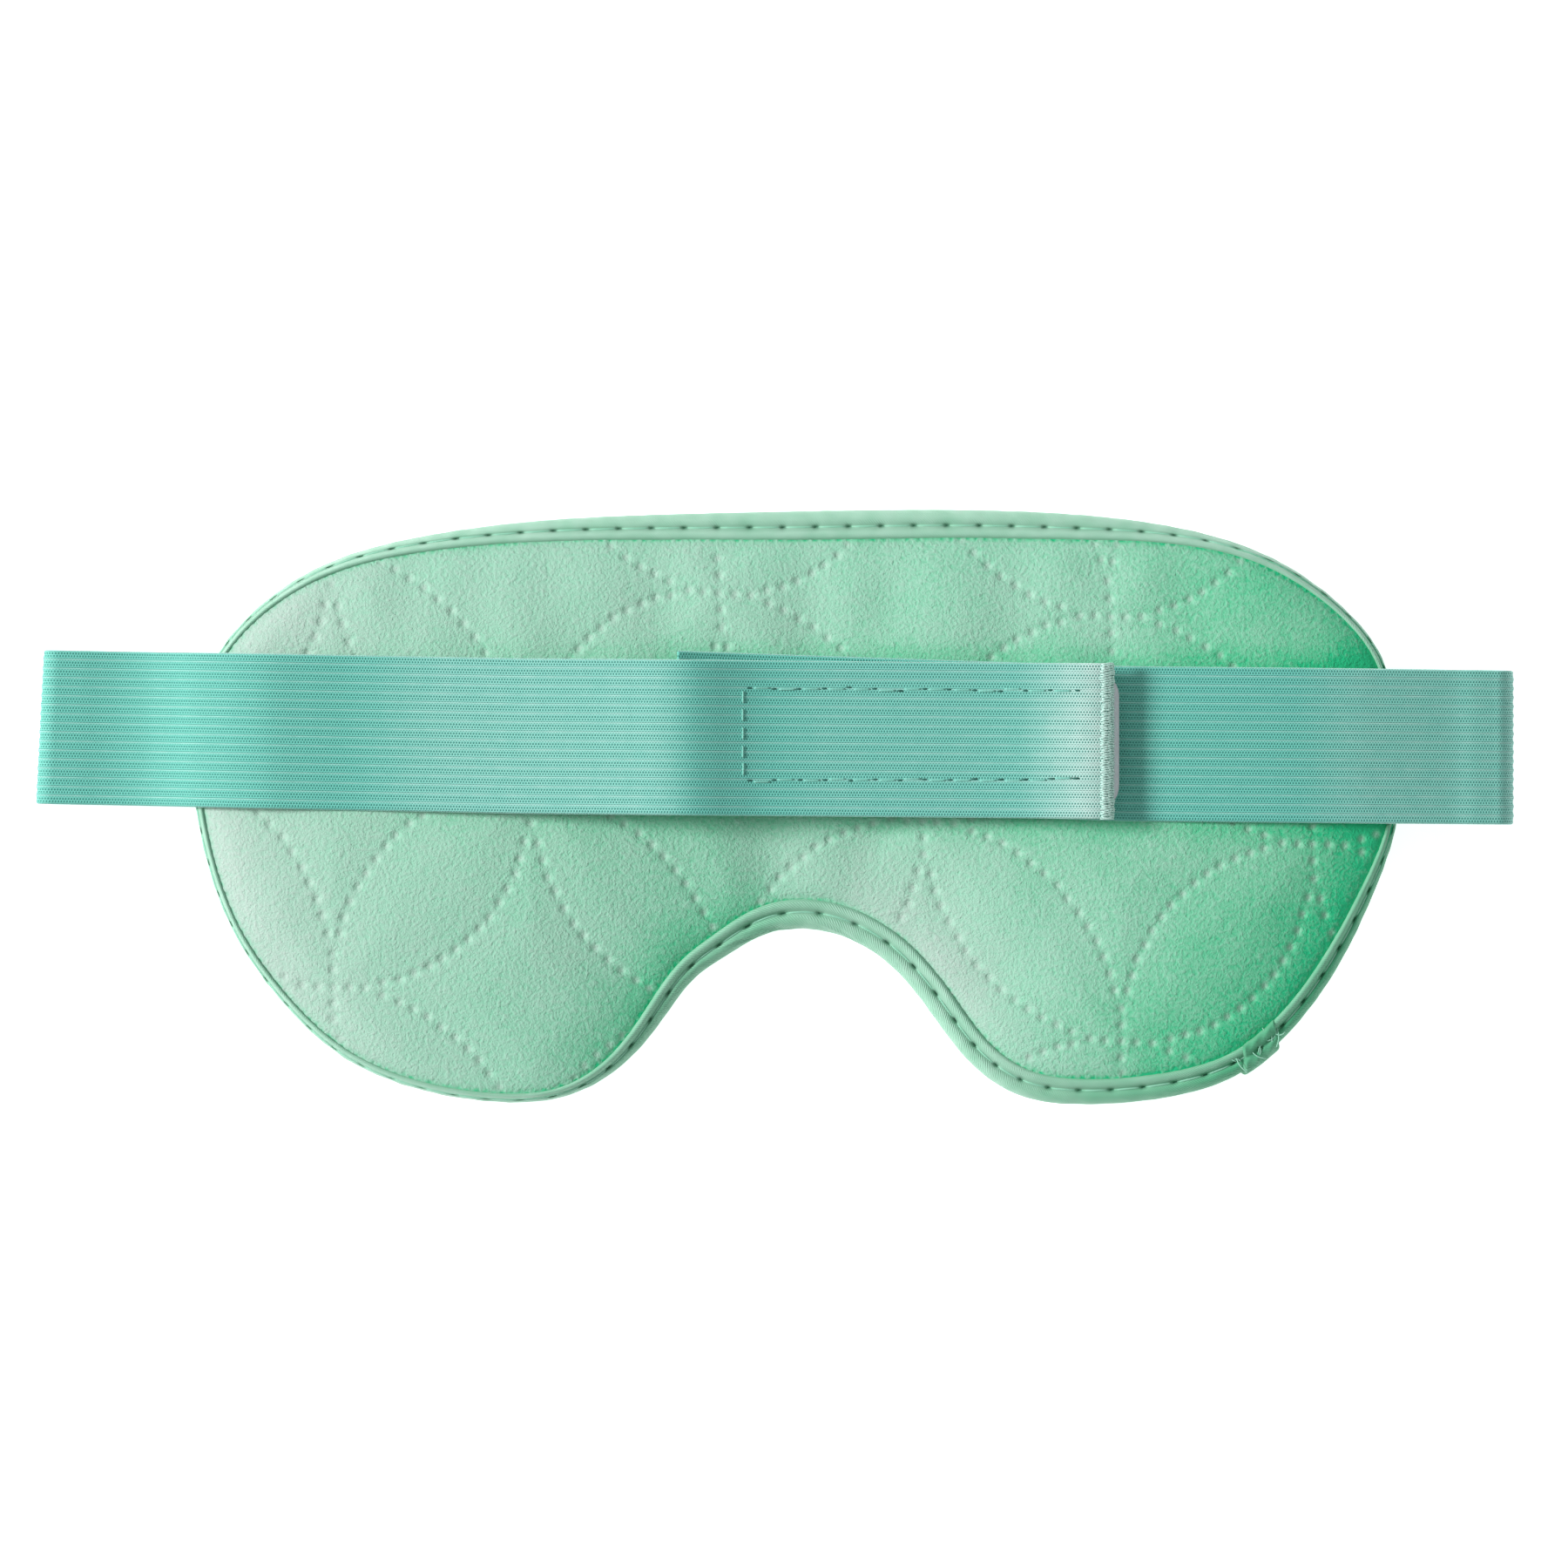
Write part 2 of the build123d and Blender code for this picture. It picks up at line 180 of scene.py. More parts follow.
def make_piece(name, points, faces, material, **attributes):
    """A smooth-shaded mesh object from points in millimetres. Attributes are per point."""
    mesh = bpy.data.meshes.new(name)
    mesh.from_pydata((np.asarray(points) * MM).tolist(), [], faces)
    for label, values in attributes.items():
        values = np.asarray(values, np.float32)
        if values.ndim == 1:
            layer = mesh.attributes.new(label, "FLOAT", "POINT")
            layer.data.foreach_set("value", values)
        else:
            layer = mesh.attributes.new(label, "FLOAT_VECTOR", "POINT")
            layer.data.foreach_set("vector", values.ravel())
    # The cut ends, which are faces with many sides, stay flat
    mesh.polygons.foreach_set("use_smooth", [len(face) < 9 for face in faces])
    mesh.materials.append(material)
    mesh.validate()
    mesh.update()
    piece = bpy.data.objects.new(name, mesh)
    bpy.context.scene.collection.objects.link(piece)
    return piece


def declare(piece, slot, *replaced, body=None):
    """Hide the CAD nodes that a piece stands for, and attach it to its body. The slot is not
    used.
    """
    if body:
        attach(piece, body)
    if replaced:
        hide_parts(*replaced)


def grid_faces(rows, columns, close_rows=False, close_columns=False, first=0):
    """Quads between rows of points, with either direction closed on itself."""
    faces = []
    for r in range(rows if close_rows else rows - 1):
        here, there = first + r * columns, first + (r + 1) % rows * columns
        for c in range(columns if close_columns else columns - 1):
            d = (c + 1) % columns
            faces.append((here + c, here + d, there + d, there + c))
    return faces


def tubes(paths, radius, sides):
    """Points and faces of round closed-ended threads along several paths."""
    points, faces, first = [], [], 0
    turn = np.linspace(0, 2 * math.pi, sides, endpoint=False)[:, None]
    for path in paths:
        path = np.asarray(path, float)
        heading = np.gradient(path, axis=0)
        heading /= np.linalg.norm(heading, axis=1)[:, None]
        side = np.cross(heading, (0, 0, 1.0))
        side /= np.maximum(np.linalg.norm(side, axis=1)[:, None], 1e-9)
        up = np.cross(side, heading)
        ring = np.cos(turn) * side[:, None] + np.sin(turn) * up[:, None]
        points.append((path[:, None] + radius * ring).reshape(-1, 3))
        rows = len(path)
        faces += grid_faces(rows, sides, close_columns=True, first=first)
        faces.append(tuple(first + c for c in reversed(range(sides))))
        faces.append(tuple(first + (rows - 1) * sides + c for c in range(sides)))
        first += rows * sides
    return np.vstack(points), faces


def make_threads(name, paths, radius, material, slot, *replaced, sides=7, body=None):
    """A declared piece of round threads along paths."""
    piece = make_piece(name, *tubes(paths, radius, sides), material)
    declare(piece, slot, *replaced, body=body)
    return piece


# ---- materials
class Value:
    """A number, colour or vector that shader nodes give. Sums with it make further nodes."""

    def __init__(self, tree, socket):
        self.tree = tree
        self.socket = socket

    def maths(self, operation, other=0.0):
        return put(self.tree, "ShaderNodeMath", 0, {0: self, 1: other}, operation=operation)

    def __add__(self, other):
        return self.maths("ADD", other)

    def __sub__(self, other):
        return self.maths("SUBTRACT", other)

    def __rsub__(self, other):
        return self * -1 + other

    def __mul__(self, other):
        return self.maths("MULTIPLY", other)

    def __truediv__(self, other):
        return self.maths("DIVIDE", other)

    def feed(self, socket):
        self.tree.links.new(self.socket, socket)


def put(tree, kind, output, inputs=None, **settings):
    """One output of a new node, whose inputs are given as numbers, colours or values."""
    node = tree.nodes.new(kind)
    for key, setting in settings.items():
        setattr(node, key, setting)
    for key, given in (inputs or {}).items():
        if isinstance(given, Value):
            given.feed(node.inputs[key])
        else:
            node.inputs[key].default_value = given
    return Value(tree, node.outputs[output])


def ramp(value, low, high):
    """0 below low, 1 above high, smooth between."""
    return put(value.tree, "ShaderNodeMapRange", "Result",
               {"Value": value, "From Min": low, "From Max": high},
               interpolation_type="SMOOTHSTEP")


def noise(place, scale, detail=2.0, roughness=0.5):
    return put(place.tree, "ShaderNodeTexNoise", "Fac",
               {"Vector": place, "Scale": scale, "Detail": detail, "Roughness": roughness})


def blend_colours(share, first, second):
    """The first colour where share is 0, and the second where it is 1."""
    return put(share.tree, "ShaderNodeMix", 2, {0: share, 6: first, 7: second}, data_type="RGBA")


def attribute(tree, name, output="Fac"):
    return put(tree, "ShaderNodeAttribute", output, attribute_name=name)


def axes(vector):
    """The X, Y and Z of a vector."""
    split = put(vector.tree, "ShaderNodeSeparateXYZ", "X", {"Vector": vector})
    return [Value(vector.tree, socket) for socket in split.socket.node.outputs]


def bump(height, distance, under=None):
    """The normal of a relief, distance millimetres high, on top of another relief's normal."""
    inputs = {"Height": height, "Distance": distance * MM}
    if under:
        inputs["Normal"] = under
    return put(height.tree, "ShaderNodeBump", "Normal", inputs)


def linear(red, green, blue):
    """An sRGB colour of 0 to 255 as linear RGBA."""
    values = np.array([red, green, blue]) / 255
    values = np.where(values <= 0.04045, values / 12.92, ((values + 0.055) / 1.055) ** 2.4)
    return (*values, 1.0)


def new_material(name, shader):
    """A material, its tree and its main shader, whose sockets take the given plain values."""
    material = bpy.data.materials.new(name)
    material.use_nodes = True
    tree = material.node_tree
    main = tree.nodes["Principled BSDF"]
    for socket, value in shader.items():
        main.inputs[socket].default_value = value
    return material, tree, main


def place_of(tree):
    return put(tree, "ShaderNodeTexCoord", "Object")


# Deep, middle and pale green of the suede: its painted shade, level and painted light. The pits
# are pressed to the pale one.
SUEDE_DEEP = linear(42, 192, 134)
SUEDE_MIDDLE = linear(156, 210, 184)
SUEDE_PALE = linear(186, 205, 195)
NAP_MEAN = 0.47              # mean of the three noises that vary the nap
TWILL_PITCH = 0.42
WEAVE_RIBS = 17
RIB_PITCH = 25.4 / WEAVE_RIBS
RIB_SHIFT = RIB_PITCH / 2    # the number of ribs is odd, so that one lies in the middle
WEAVE_PITCH = 0.47


def suede():
    """Microsuede: short nap in light and dark mottled strokes. Its colour is painted paler and
    deeper by an attribute that holds painted light and shade.
    """
    material, tree, main = new_material("suede", {
        "Roughness": 0.92, "Specular IOR Level": 0.15, "Sheen Weight": 0.25,
        "Sheen Roughness": 0.45, "Sheen Tint": (0.85, 1.0, 0.93, 1.0)})
    place = place_of(tree)
    cloud = noise(place, 130)
    blotch = noise(place, 950, 3.0, 0.6)
    grain = noise(place, 1900, 3.0, 0.6)
    fibre = noise(place, 5200, 2.0, 0.6)
    strokes = blotch * 0.30 + cloud * 0.22 + grain * 0.42 - NAP_MEAN
    # The ramp paints light and shade: deep green for painted shade, pale green for painted light,
    # with noise for the mottled nap
    surface_colour = put(tree, "ShaderNodeValToRGB", "Color", {"Fac": attribute(tree, "nap") + strokes})
    stops = surface_colour.socket.node.color_ramp.elements
    stops[0].color, stops[1].color = SUEDE_DEEP, SUEDE_PALE
    stops.new(0.5).color = SUEDE_MIDDLE
    pressed_pit_and_strap_shade = attribute(tree, "pit") * 0.5
    blend_colours(pressed_pit_and_strap_shade, surface_colour, SUEDE_PALE).feed(main.inputs["Base Color"])
    relief = bump(grain, 0.16, bump(blotch, 0.20))
    bump(fibre, 0.04, relief).feed(main.inputs["Normal"])
    return material


def satin(name, colour, shade):
    """Satin bias tape: fine twill lines across the tape and a soft gloss. Painted shade makes it
    deeper where the attribute deep says so, and darker where the attribute hole says so."""
    material, tree, main = new_material(name, {
        "Roughness": 0.5, "Specular IOR Level": 0.35, "Sheen Weight": 0.2,
        "Sheen Roughness": 0.4})
    along, across, _ = axes(attribute(tree, "tape", "Vector"))
    line = ((along + across) * (2 * math.pi / TWILL_PITCH)).maths("SINE")
    cloud = noise(place_of(tree), 300)
    surface_colour = blend_colours(line * 0.14 + cloud, linear(*shade), linear(*colour))
    # Painted shade: the tape turns deeper green where it faces away from the light
    shaded = blend_colours(attribute(tree, "deep"), surface_colour, linear(66, 172, 124))
    # Painted shade: the tape is darker in its needle holes
    hole = attribute(tree, "hole") * 0.7
    blend_colours(hole, shaded, linear(38, 120, 88)).feed(main.inputs["Base Color"])
    bump(cloud, 0.12, bump(line, 0.03)).feed(main.inputs["Normal"])
    return material


def elastic():
    """Woven elastic: pale warp ridges with a painted shadow line beside each, and between them
    two staggered rows of small gaps. The attribute weave holds the place along and across the
    tape, and how much paler it is painted for wear, stretch and painted light."""
    material, tree, main = new_material("elastic", {
        "Roughness": 0.55, "Specular IOR Level": 0.3, "Sheen Weight": 0.25,
        "Sheen Roughness": 0.35})
    weave = attribute(tree, "weave", "Vector")
    along, across, wear_and_light = axes(weave)
    wander = noise(weave, 0.35, 1.0)
    rib = (across / RIB_PITCH).maths("FRACT")
    ridge = ramp((rib - 0.5).maths("ABSOLUTE"), 0.34, 0.47)
    row = (rib - 0.2) / 0.3
    column = along / WEAVE_PITCH + row.maths("FLOOR") * 0.5
    side_way = column.maths("FRACT") - 0.5
    up_way = row.maths("FRACT") - 0.5
    from_gap = (side_way * side_way + up_way * up_way).maths("SQRT")
    gap = (1 - ramp(from_gap, 0.15, 0.45)) * (1 - ridge)
    body = blend_colours(noise(weave, 3.0), linear(98, 191, 175), linear(131, 214, 200))
    ridged = blend_colours(ridge * (wander * 0.45 + 0.15), body, linear(190, 233, 225))
    # A painted shadow line on one side of each ridge
    ridge_shadow = ramp(rib, 0.04, 0.10) - ramp(rib, 0.12, 0.20)
    lined = blend_colours(ridge_shadow * 0.5, ridged, linear(58, 156, 143))
    # Paler for wear and stretch, and for painted light where the tape faces the light
    paled = blend_colours(wear_and_light * (wander * 0.5 + 0.55), lined, linear(222, 248, 241))
    blend_colours(gap * 0.8, paled, linear(48, 142, 130)).feed(main.inputs["Base Color"])
    bump(ridge - gap, 0.12).feed(main.inputs["Normal"])
    return material


def plain_cloth(name, colour, shade, scale=2500, relief=0.08, roughness=0.7):
    """Thread, felt or fluff: a soft mottled colour over a fine relief."""
    material, tree, main = new_material(name, {"Roughness": roughness, "Sheen Weight": 0.2})
    mottle = noise(place_of(tree), scale, 3.0, 0.6)
    blend_colours(mottle, linear(*shade), linear(*colour)).feed(main.inputs["Base Color"])
    bump(mottle, relief).feed(main.inputs["Normal"])
    return material


SUEDE = suede()
SATIN = satin("binding_satin", (184, 221, 202), (139, 198, 168))
COVER_SATIN = satin("cover_satin", (150, 206, 182), (118, 188, 160))
ELASTIC = elastic()
THREAD = plain_cloth("thread", (170, 224, 200), (118, 190, 160), 5000)
PATCH_THREAD = plain_cloth("patch_thread", (150, 216, 202), (96, 180, 164), 5000)
# Dark threads of painted shade for the needle holes of the hook patch's stitches
HOLE_SHADE = plain_cloth("needle_hole", (30, 110, 98), (14, 84, 74), 5000)
FRAY = plain_cloth("frayed_yarn", (236, 250, 245), (170, 226, 213), 3000, 0.05)
HOOK_TAPE = plain_cloth("hook_tape", (236, 240, 244), (206, 214, 222), 1800, 0.05, 0.45)
LOOP_TAPE = plain_cloth("loop_tape", (160, 214, 203), (112, 186, 172), 2200)


# ---- the pillow's edge
edge = smooth_loop(OUTLINE, OUTLINE_STEP)
join_low, join_high = node_box("binding_join")
JOIN_PLACE = (join_low[:2] + join_high[:2]) / 2
join_index = np.argmin(np.linalg.norm(edge[:, :2] - JOIN_PLACE, axis=1))
edge = np.roll(edge, -join_index, 0)
edge_xy, seen_width = edge[:, :2], edge[:, 2]
edge_count = len(edge_xy)
edge_run = np.arange(edge_count) * OUTLINE_STEP
heading = np.roll(edge_xy, -1, 0) - np.roll(edge_xy, 1, 0)
heading /= np.linalg.norm(heading, axis=1)[:, None]
outward = np.column_stack([-heading[:, 1], heading[:, 0]])

# Section across the bound edge: distance out from the outline, and height. The first set lies
# flat: fold, ridge, groove of the stitches, outer band and underside. The second is turned down.
FLAT_SECTION = [
    (-5.0, 6.7), (-4.9, 7.8), (-4.5, 8.45), (-3.9, 8.5), (-3.3, 8.15), (-2.75, 7.6), (-2.2, 7.95),
    (-1.5, 8.05), (-0.7, 7.6), (-0.15, 6.8), (0.0, 5.9), (-0.4, 4.6), (-1.4, 3.7), (-3.2, 3.3),
    (-4.6, 3.1), (-5.1, 4.2),
]
TURNED_SECTION = [
    (-2.0, 6.9), (-1.4, 7.8), (-1.2, 8.3), (-0.9, 8.4), (-0.6, 8.0), (-0.35, 7.3), (-0.2, 7.1),
    (-0.05, 6.5), (0.0, 5.7), (0.05, 5.0), (0.0, 4.2), (-0.2, 3.1), (-0.9, 2.3), (-2.4, 1.9),
    (-4.3, 2.1), (-4.9, 4.1),
]
FLAT_WIDTH, TURNED_WIDTH = 4.7, 1.2
STITCH_PITCH = 5.4
STITCH_KNOT = 5              # the section's point that the stitches run along
SECTION_STEPS = 3            # points of the curve from each of the section's points to the next


def section_curve(knots):
    return curve_through(np.array([knots[0], *knots, knots[-1]], float), SECTION_STEPS)


flat_curve = section_curve(FLAT_SECTION)
turned_curve = section_curve(TURNED_SECTION)
flatness = np.clip((seen_width - TURNED_WIDTH) / (FLAT_WIDTH - TURNED_WIDTH), 0, 1.05)
section = (turned_curve[None] * (1 - flatness[:, None, None])
           + flat_curve[None] * flatness[:, None, None])
stitch_row = STITCH_KNOT * SECTION_STEPS


def waves(run, counts, phase_seed):
    """A smooth closed ripple along the edge, made of a few whole numbers of waves."""
    wobble = np.random.default_rng(phase_seed)
    total = np.zeros_like(run)
    for count in counts:
        total += np.sin(2 * math.pi * count * run / edge_length + wobble.uniform(0, 2 * math.pi))
    return total / len(counts)


edge_length = edge_count * OUTLINE_STEP
stitch_count = int(round(edge_length / STITCH_PITCH))
nose_share = np.exp(-(((edge_xy[:, 0] - 3.0) / 13) ** 2 + ((edge_xy[:, 1] + 22) / 9) ** 2))


def hole_distance(run):
    """Distance along the edge to the nearest needle hole."""
    pitch = edge_length / stitch_count
    return np.abs((run / pitch + 0.5) % 1 - 0.5) * pitch


def hole_depth(run, columns):
    """1 in the middle of each needle hole's dent, a short slot along the edge."""
    along = np.exp(-(hole_distance(run) / 0.55) ** 4)
    across = np.exp(-((columns - stitch_row) / 1.5) ** 2)
    return np.outer(along, across)


def binding_points():
    """Points of the binding's surface, one row for each place along the edge. The stitches
    pull it in, and it puckers where it is bent round the nose."""
    shape = section.copy()
    columns = np.arange(shape.shape[1])
    outer_leg = np.exp(-((columns - stitch_row - 9) / 5.0) ** 2)
    near_stitch = np.exp(-((columns - stitch_row) / 4.0) ** 2)
    pinch = np.exp(-(hole_distance(edge_run) / 1.3) ** 2)
    pull = -0.16 * np.outer(pinch, near_stitch) - 0.5 * hole_depth(edge_run, columns)
    ripple = waves(edge_run, (61, 87, 113, 149), 3)
    slanted = np.array([waves(edge_run + 1.1 * c, (97, 131, 171), 5) for c in columns]).T
    pucker = np.outer(0.05 + 0.26 * nose_share, outer_leg) * slanted
    shape[:, :, 1] += pull + 0.5 * pucker
    shape[:, :, 0] += 0.10 * np.outer(ripple, outer_leg) + 0.6 * pucker
    flat_xy = edge_xy[:, None, :] + outward[:, None, :] * shape[:, :, :1]
    return np.concatenate([flat_xy, shape[:, :, 1:]], axis=2)


binding_surface = binding_points()
binding_columns = binding_surface.shape[1]


def tape_place():
    """Each point's place on the tape for its weave: along and across, in millimetres."""
    place = np.zeros(binding_surface.shape)
    place[:, :, 0] = edge_run[:, None]
    place[:, :, 1] = run_along(binding_surface[0])
    return place.reshape(-1, 3)


def on_binding(places, columns):
    """Points of the binding at places along the edge and columns across the tape."""
    index = (places / OUTLINE_STEP) % edge_count
    low = index.astype(int)
    share = (index - low)[..., None]
    return (binding_surface[low, columns] * (1 - share)
            + binding_surface[(low + 1) % edge_count, columns] * share)


def tape_shading(columns):
    """How much painted shade deepens the tape at each point. It is deepest where it faces right
    and towards the nose, away from the light, and palest on the ridge beside the panel."""
    facing = outward @ np.array([0.85, -0.53])
    to_right = smoothstep(0, 60, edge_xy[:, 0])
    along = 0.08 + 0.84 * smoothstep(0.1, 1.0, facing) * (0.5 + 0.5 * to_right)
    on_ridge = 1 - 0.45 * smoothstep(stitch_row - 1, stitch_row - 5, columns)
    return np.outer(along, on_ridge)


binding_shading = tape_shading(np.arange(binding_columns))
# The tape carries painted shade: deeper where it faces away from the light, and dark in its
# needle holes
edge_binding = make_piece(
    "edge_binding_tape", binding_surface.reshape(-1, 3),
    grid_faces(edge_count, binding_columns, close_rows=True), SATIN,
    tape=tape_place(),
    hole=(hole_depth(edge_run, np.arange(binding_columns))
          * smoothstep(0.1, 0.45, flatness)[:, None]).ravel(),
    deep=binding_shading.ravel(),
)
declare(edge_binding, "binding_satin", "edge_binding", body="mask")

# Stitches: a thread on the tape between each pair of holes
STITCH_REACH = 0.41          # half of the share of the pitch that the thread covers
THREAD_RADIUS = 0.17


def edge_stitches():
    paths = []
    arch = np.sin(np.linspace(0, math.pi, 9))
    for number in range(stitch_count):
        middle = (number + 0.5) * edge_length / stitch_count
        spots = middle + np.linspace(-STITCH_REACH, STITCH_REACH, 9) * STITCH_PITCH
        path = on_binding(spots, stitch_row)
        path[:, 2] += 0.15 * arch - 0.1
        paths.append(path)
    return paths


make_threads("binding_stitch_thread", edge_stitches(), THREAD_RADIUS, THREAD, "sewing_thread",
             "binding_stitching", body="mask")


def lapped_end(length, slant, lift, spread):
    """The end of the binding tape, folded over its start: a raised stretch of the tape whose
    two ends are cut on a slant."""
    rows = np.linspace(0, 1, 41)
    columns = np.arange(binding_columns - 9)
    rise = np.minimum(smoothstep(0, 0.06, rows), smoothstep(1, 0.94, rows))[:, None]
    crumple = 0.12 * np.sin(rows * 17)[:, None] * np.sin(columns * 0.45 + 1)
    places = (rows[:, None] - 0.5) * length + slant * (columns / columns[-1] - 0.5)
    surface = on_binding(places, columns)
    surface[..., 2] += (lift + crumple) * rise - 0.06
    reach = spread * rise * smoothstep(0, columns[-1], columns)
    away = outward[((places / OUTLINE_STEP) % edge_count).astype(int)]
    surface[..., :2] += away * reach[..., None]
    place = np.zeros(surface.shape)
    place[..., 0], place[..., 1] = places, columns * 0.35
    return surface, place


def loose_threads(count, spread, length):
    """Short stray threads round the join, lying on the tape."""
    paths = []
    row = binding_surface[:, stitch_row]
    for _ in range(count):
        start = row[int(dice.integers(-spread, spread)) % edge_count].copy()
        start[:2] += dice.normal(0, 0.7, 2)
        start[2] += dice.uniform(0.45, 0.8)
        turn = dice.uniform(0, 2 * math.pi)
        bend = dice.uniform(-0.9, 0.9)
        steps = np.linspace(0, 1, 7)
        reach = length * dice.uniform(0.5, 1.0)
        angle = turn + bend * steps * 2
        paths.append(np.column_stack([
            start[0] + reach * steps * np.cos(angle), start[1] + reach * steps * np.sin(angle),
            start[2] + 0.25 * np.sin(steps * math.pi) - 0.25 * steps]))
    return paths


# The lapped end takes the tape's painted shade where it lies
JOIN_SHADING = binding_shading[0].mean()
join_surface, join_place = lapped_end(length=7.5, slant=3.6, lift=0.5, spread=0.8)
binding_join = make_piece(
    "binding_lapped_end", join_surface.reshape(-1, 3), grid_faces(*join_surface.shape[:2]),
    SATIN, tape=join_place.reshape(-1, 3), deep=np.full(join_place[..., 0].size, JOIN_SHADING),
)
declare(binding_join, "binding_satin", "binding_join", body="mask")
make_threads("binding_stray_threads", loose_threads(count=12, spread=20, length=3.0), 0.11,
             THREAD, "sewing_thread", sides=5, body="mask")


# ---- the quilted face
MASK_MIDDLE_X = (BINDING_LOW[0] + BINDING_HIGH[0]) / 2
PANEL_TUCK = 0.9             # how far the panel runs in under the binding
PANEL_EDGE_HEIGHT = 7.35
LOOP_STEP = 0.7              # between points of the panel's edge
CROWN_HEIGHT = 5.0
CLOTH_SCALE = 10             # times its real size, which Blender's cloth handles better
CLOTH_FRAMES = 20
CLOTH_SLACK = 0.03           # share by which the cloth is longer than the panel
PIT_RADIUS, PIT_DEPTH = 0.62, 0.22


def left_middle(x):
    """Y of the left strap half's middle: it lies a little askew."""
    return np.interp(x, [-121, -41.6, 52], [13.2, 11.64, 10.8])


def right_middle(x):
    return np.interp(x, [-16.1, 57, 121], [12.9, 10.4, 9.8])


PATTERN_START_X, PATTERN_START_Y = MASK_MIDDLE_X - 12.9, 35.2
CIRCLE_PITCH_X, CIRCLE_PITCH_Y, CIRCLE_RADIUS = 32.0, 35.8, 32.8


def lattice_place(i, j):
    """Where a point of the embossed pattern lies. The cloth is stretched a little unevenly, so
    the pattern's rows drift and spread across the pillow."""
    x = PATTERN_START_X + CIRCLE_PITCH_X * i + 1.52 * j + 0.17 * i * j + 0.04 * i**2 - 0.32 * j**2
    y = PATTERN_START_Y - CIRCLE_PITCH_Y * j - 2.82 * i + 0.28 * i * j
    y += 0.43 * i**2 + 0.73 * j**2 - 0.27 * i**2 * j
    return np.stack([x - 0.07 * i**2 * j, y], axis=-1)


def lattice_of(points):
    """The pattern's own coordinates at points of the pillow, by a few Newton steps."""
    i = (points[:, 0] - PATTERN_START_X) / CIRCLE_PITCH_X
    j = (PATTERN_START_Y - points[:, 1]) / CIRCLE_PITCH_Y
    tiny = 0.01
    for _ in range(8):
        here = lattice_place(i, j)
        miss = here - points
        by_i = (lattice_place(i + tiny, j) - here) / tiny
        by_j = (lattice_place(i, j + tiny) - here) / tiny
        area = by_i[:, 0] * by_j[:, 1] - by_j[:, 0] * by_i[:, 1]
        i = i - (miss[:, 0] * by_j[:, 1] - miss[:, 1] * by_j[:, 0]) / area
        j = j - (miss[:, 1] * by_i[:, 0] - miss[:, 0] * by_i[:, 1]) / area
    return i, j


def line_distance(points):
    """Distance in millimetres to the nearest line of the pattern of overlapping circles."""
    i, j = lattice_of(points)
    closest = np.full(len(points), 9.0)
    for di in (-1, 0, 1, 2):
        for dj in (-1, 0, 1, 2):
            ci, cj = np.floor(i) + di, np.floor(j) + dj
            is_centre = (ci + cj) % 2 == 1
            gap = np.abs(np.hypot(i - ci, j - cj) - 1)
            closest = np.where(is_centre, np.minimum(closest, gap), closest)
    return closest * CIRCLE_RADIUS


def pattern_dots():
    """Dots of the embossed circles. Beside each crossing two circles share one row of dots."""
    dots = []
    shared = np.linspace(-0.16, 0.16, 5)
    free = np.radians(np.linspace(14.5, 75.5, 14))
    for i in range(-4, 5):
        for j in range(-1, 4):
            if (i + j) % 2 == 0:
                dots += [(i + s, j) for s in shared] + [(i, j + s) for s in shared if s]
            else:
                for quarter in range(4):
                    angles = free + quarter * math.pi / 2
                    dots += list(zip(i + np.cos(angles), j + np.sin(angles)))
    dots = np.array(dots)
    places = lattice_place(dots[:, 0], dots[:, 1])
    return places + dice.normal(0, 0.09, places.shape)


def inside_loop(points, loop):
    """Whether each point lies inside a closed line, by crossings."""
    inside = np.zeros(len(points), bool)
    x, y = points[:, 0], points[:, 1]
    for (ax, ay), (bx, by) in zip(loop, np.roll(loop, -1, 0)):
        crosses = (ay > y) != (by > y)
        if crosses.any():
            inside ^= crosses & (x < (bx - ax) * (y - ay) / (by - ay + 1e-12) + ax)
    return inside


def nearest(points, targets):
    """Distance from each point to the nearest target."""
    parts = [((points[first:first + 2000, None] - targets[None]) ** 2).sum(2).min(1)
             for first in range(0, len(points), 2000)]
    return np.sqrt(np.concatenate(parts))


def loop_distance(points, loop):
    """Distance from each point to a dense closed line."""
    return nearest(points, loop[::2])


def panel_mesh(loop, spacing, dots=(), rings=()):
    """A triangulated flat panel inside a closed line, finer round each dot."""
    low, high = loop.min(0), loop.max(0)
    xs = np.arange(low[0], high[0], spacing)
    ys = np.arange(low[1], high[1], spacing * 0.866)
    field = np.vstack([np.column_stack([xs + (k % 2) * spacing / 2, np.full(len(xs), y)])
                       for k, y in enumerate(ys)])
    field = field[inside_loop(field, loop)]
    field = field[loop_distance(field, loop) > 0.55 * spacing]
    if len(dots):
        dots = dots[inside_loop(dots, loop)]
        dots = dots[loop_distance(dots, loop) > rings[-1][0] + 0.3]
        clear = nearest(field, dots) > rings[-1][0] + 0.35 * spacing
        rounds = [dots]
        for radius, count in rings:
            for angle in np.linspace(0, 2 * math.pi, count, endpoint=False):
                rounds.append(dots + radius * np.array([math.cos(angle), math.sin(angle)]))
        field = np.vstack([field[clear]] + rounds)
    count = len(loop)
    everything = [Vector(p) for p in np.vstack([loop, field]).tolist()]
    border = [(k, (k + 1) % count) for k in range(count)]
    made = delaunay_2d_cdt(everything, border, [list(range(count))], 1, 1e-6)
    return np.array([tuple(p) for p in made[0]]), [tuple(f) for f in made[2]]


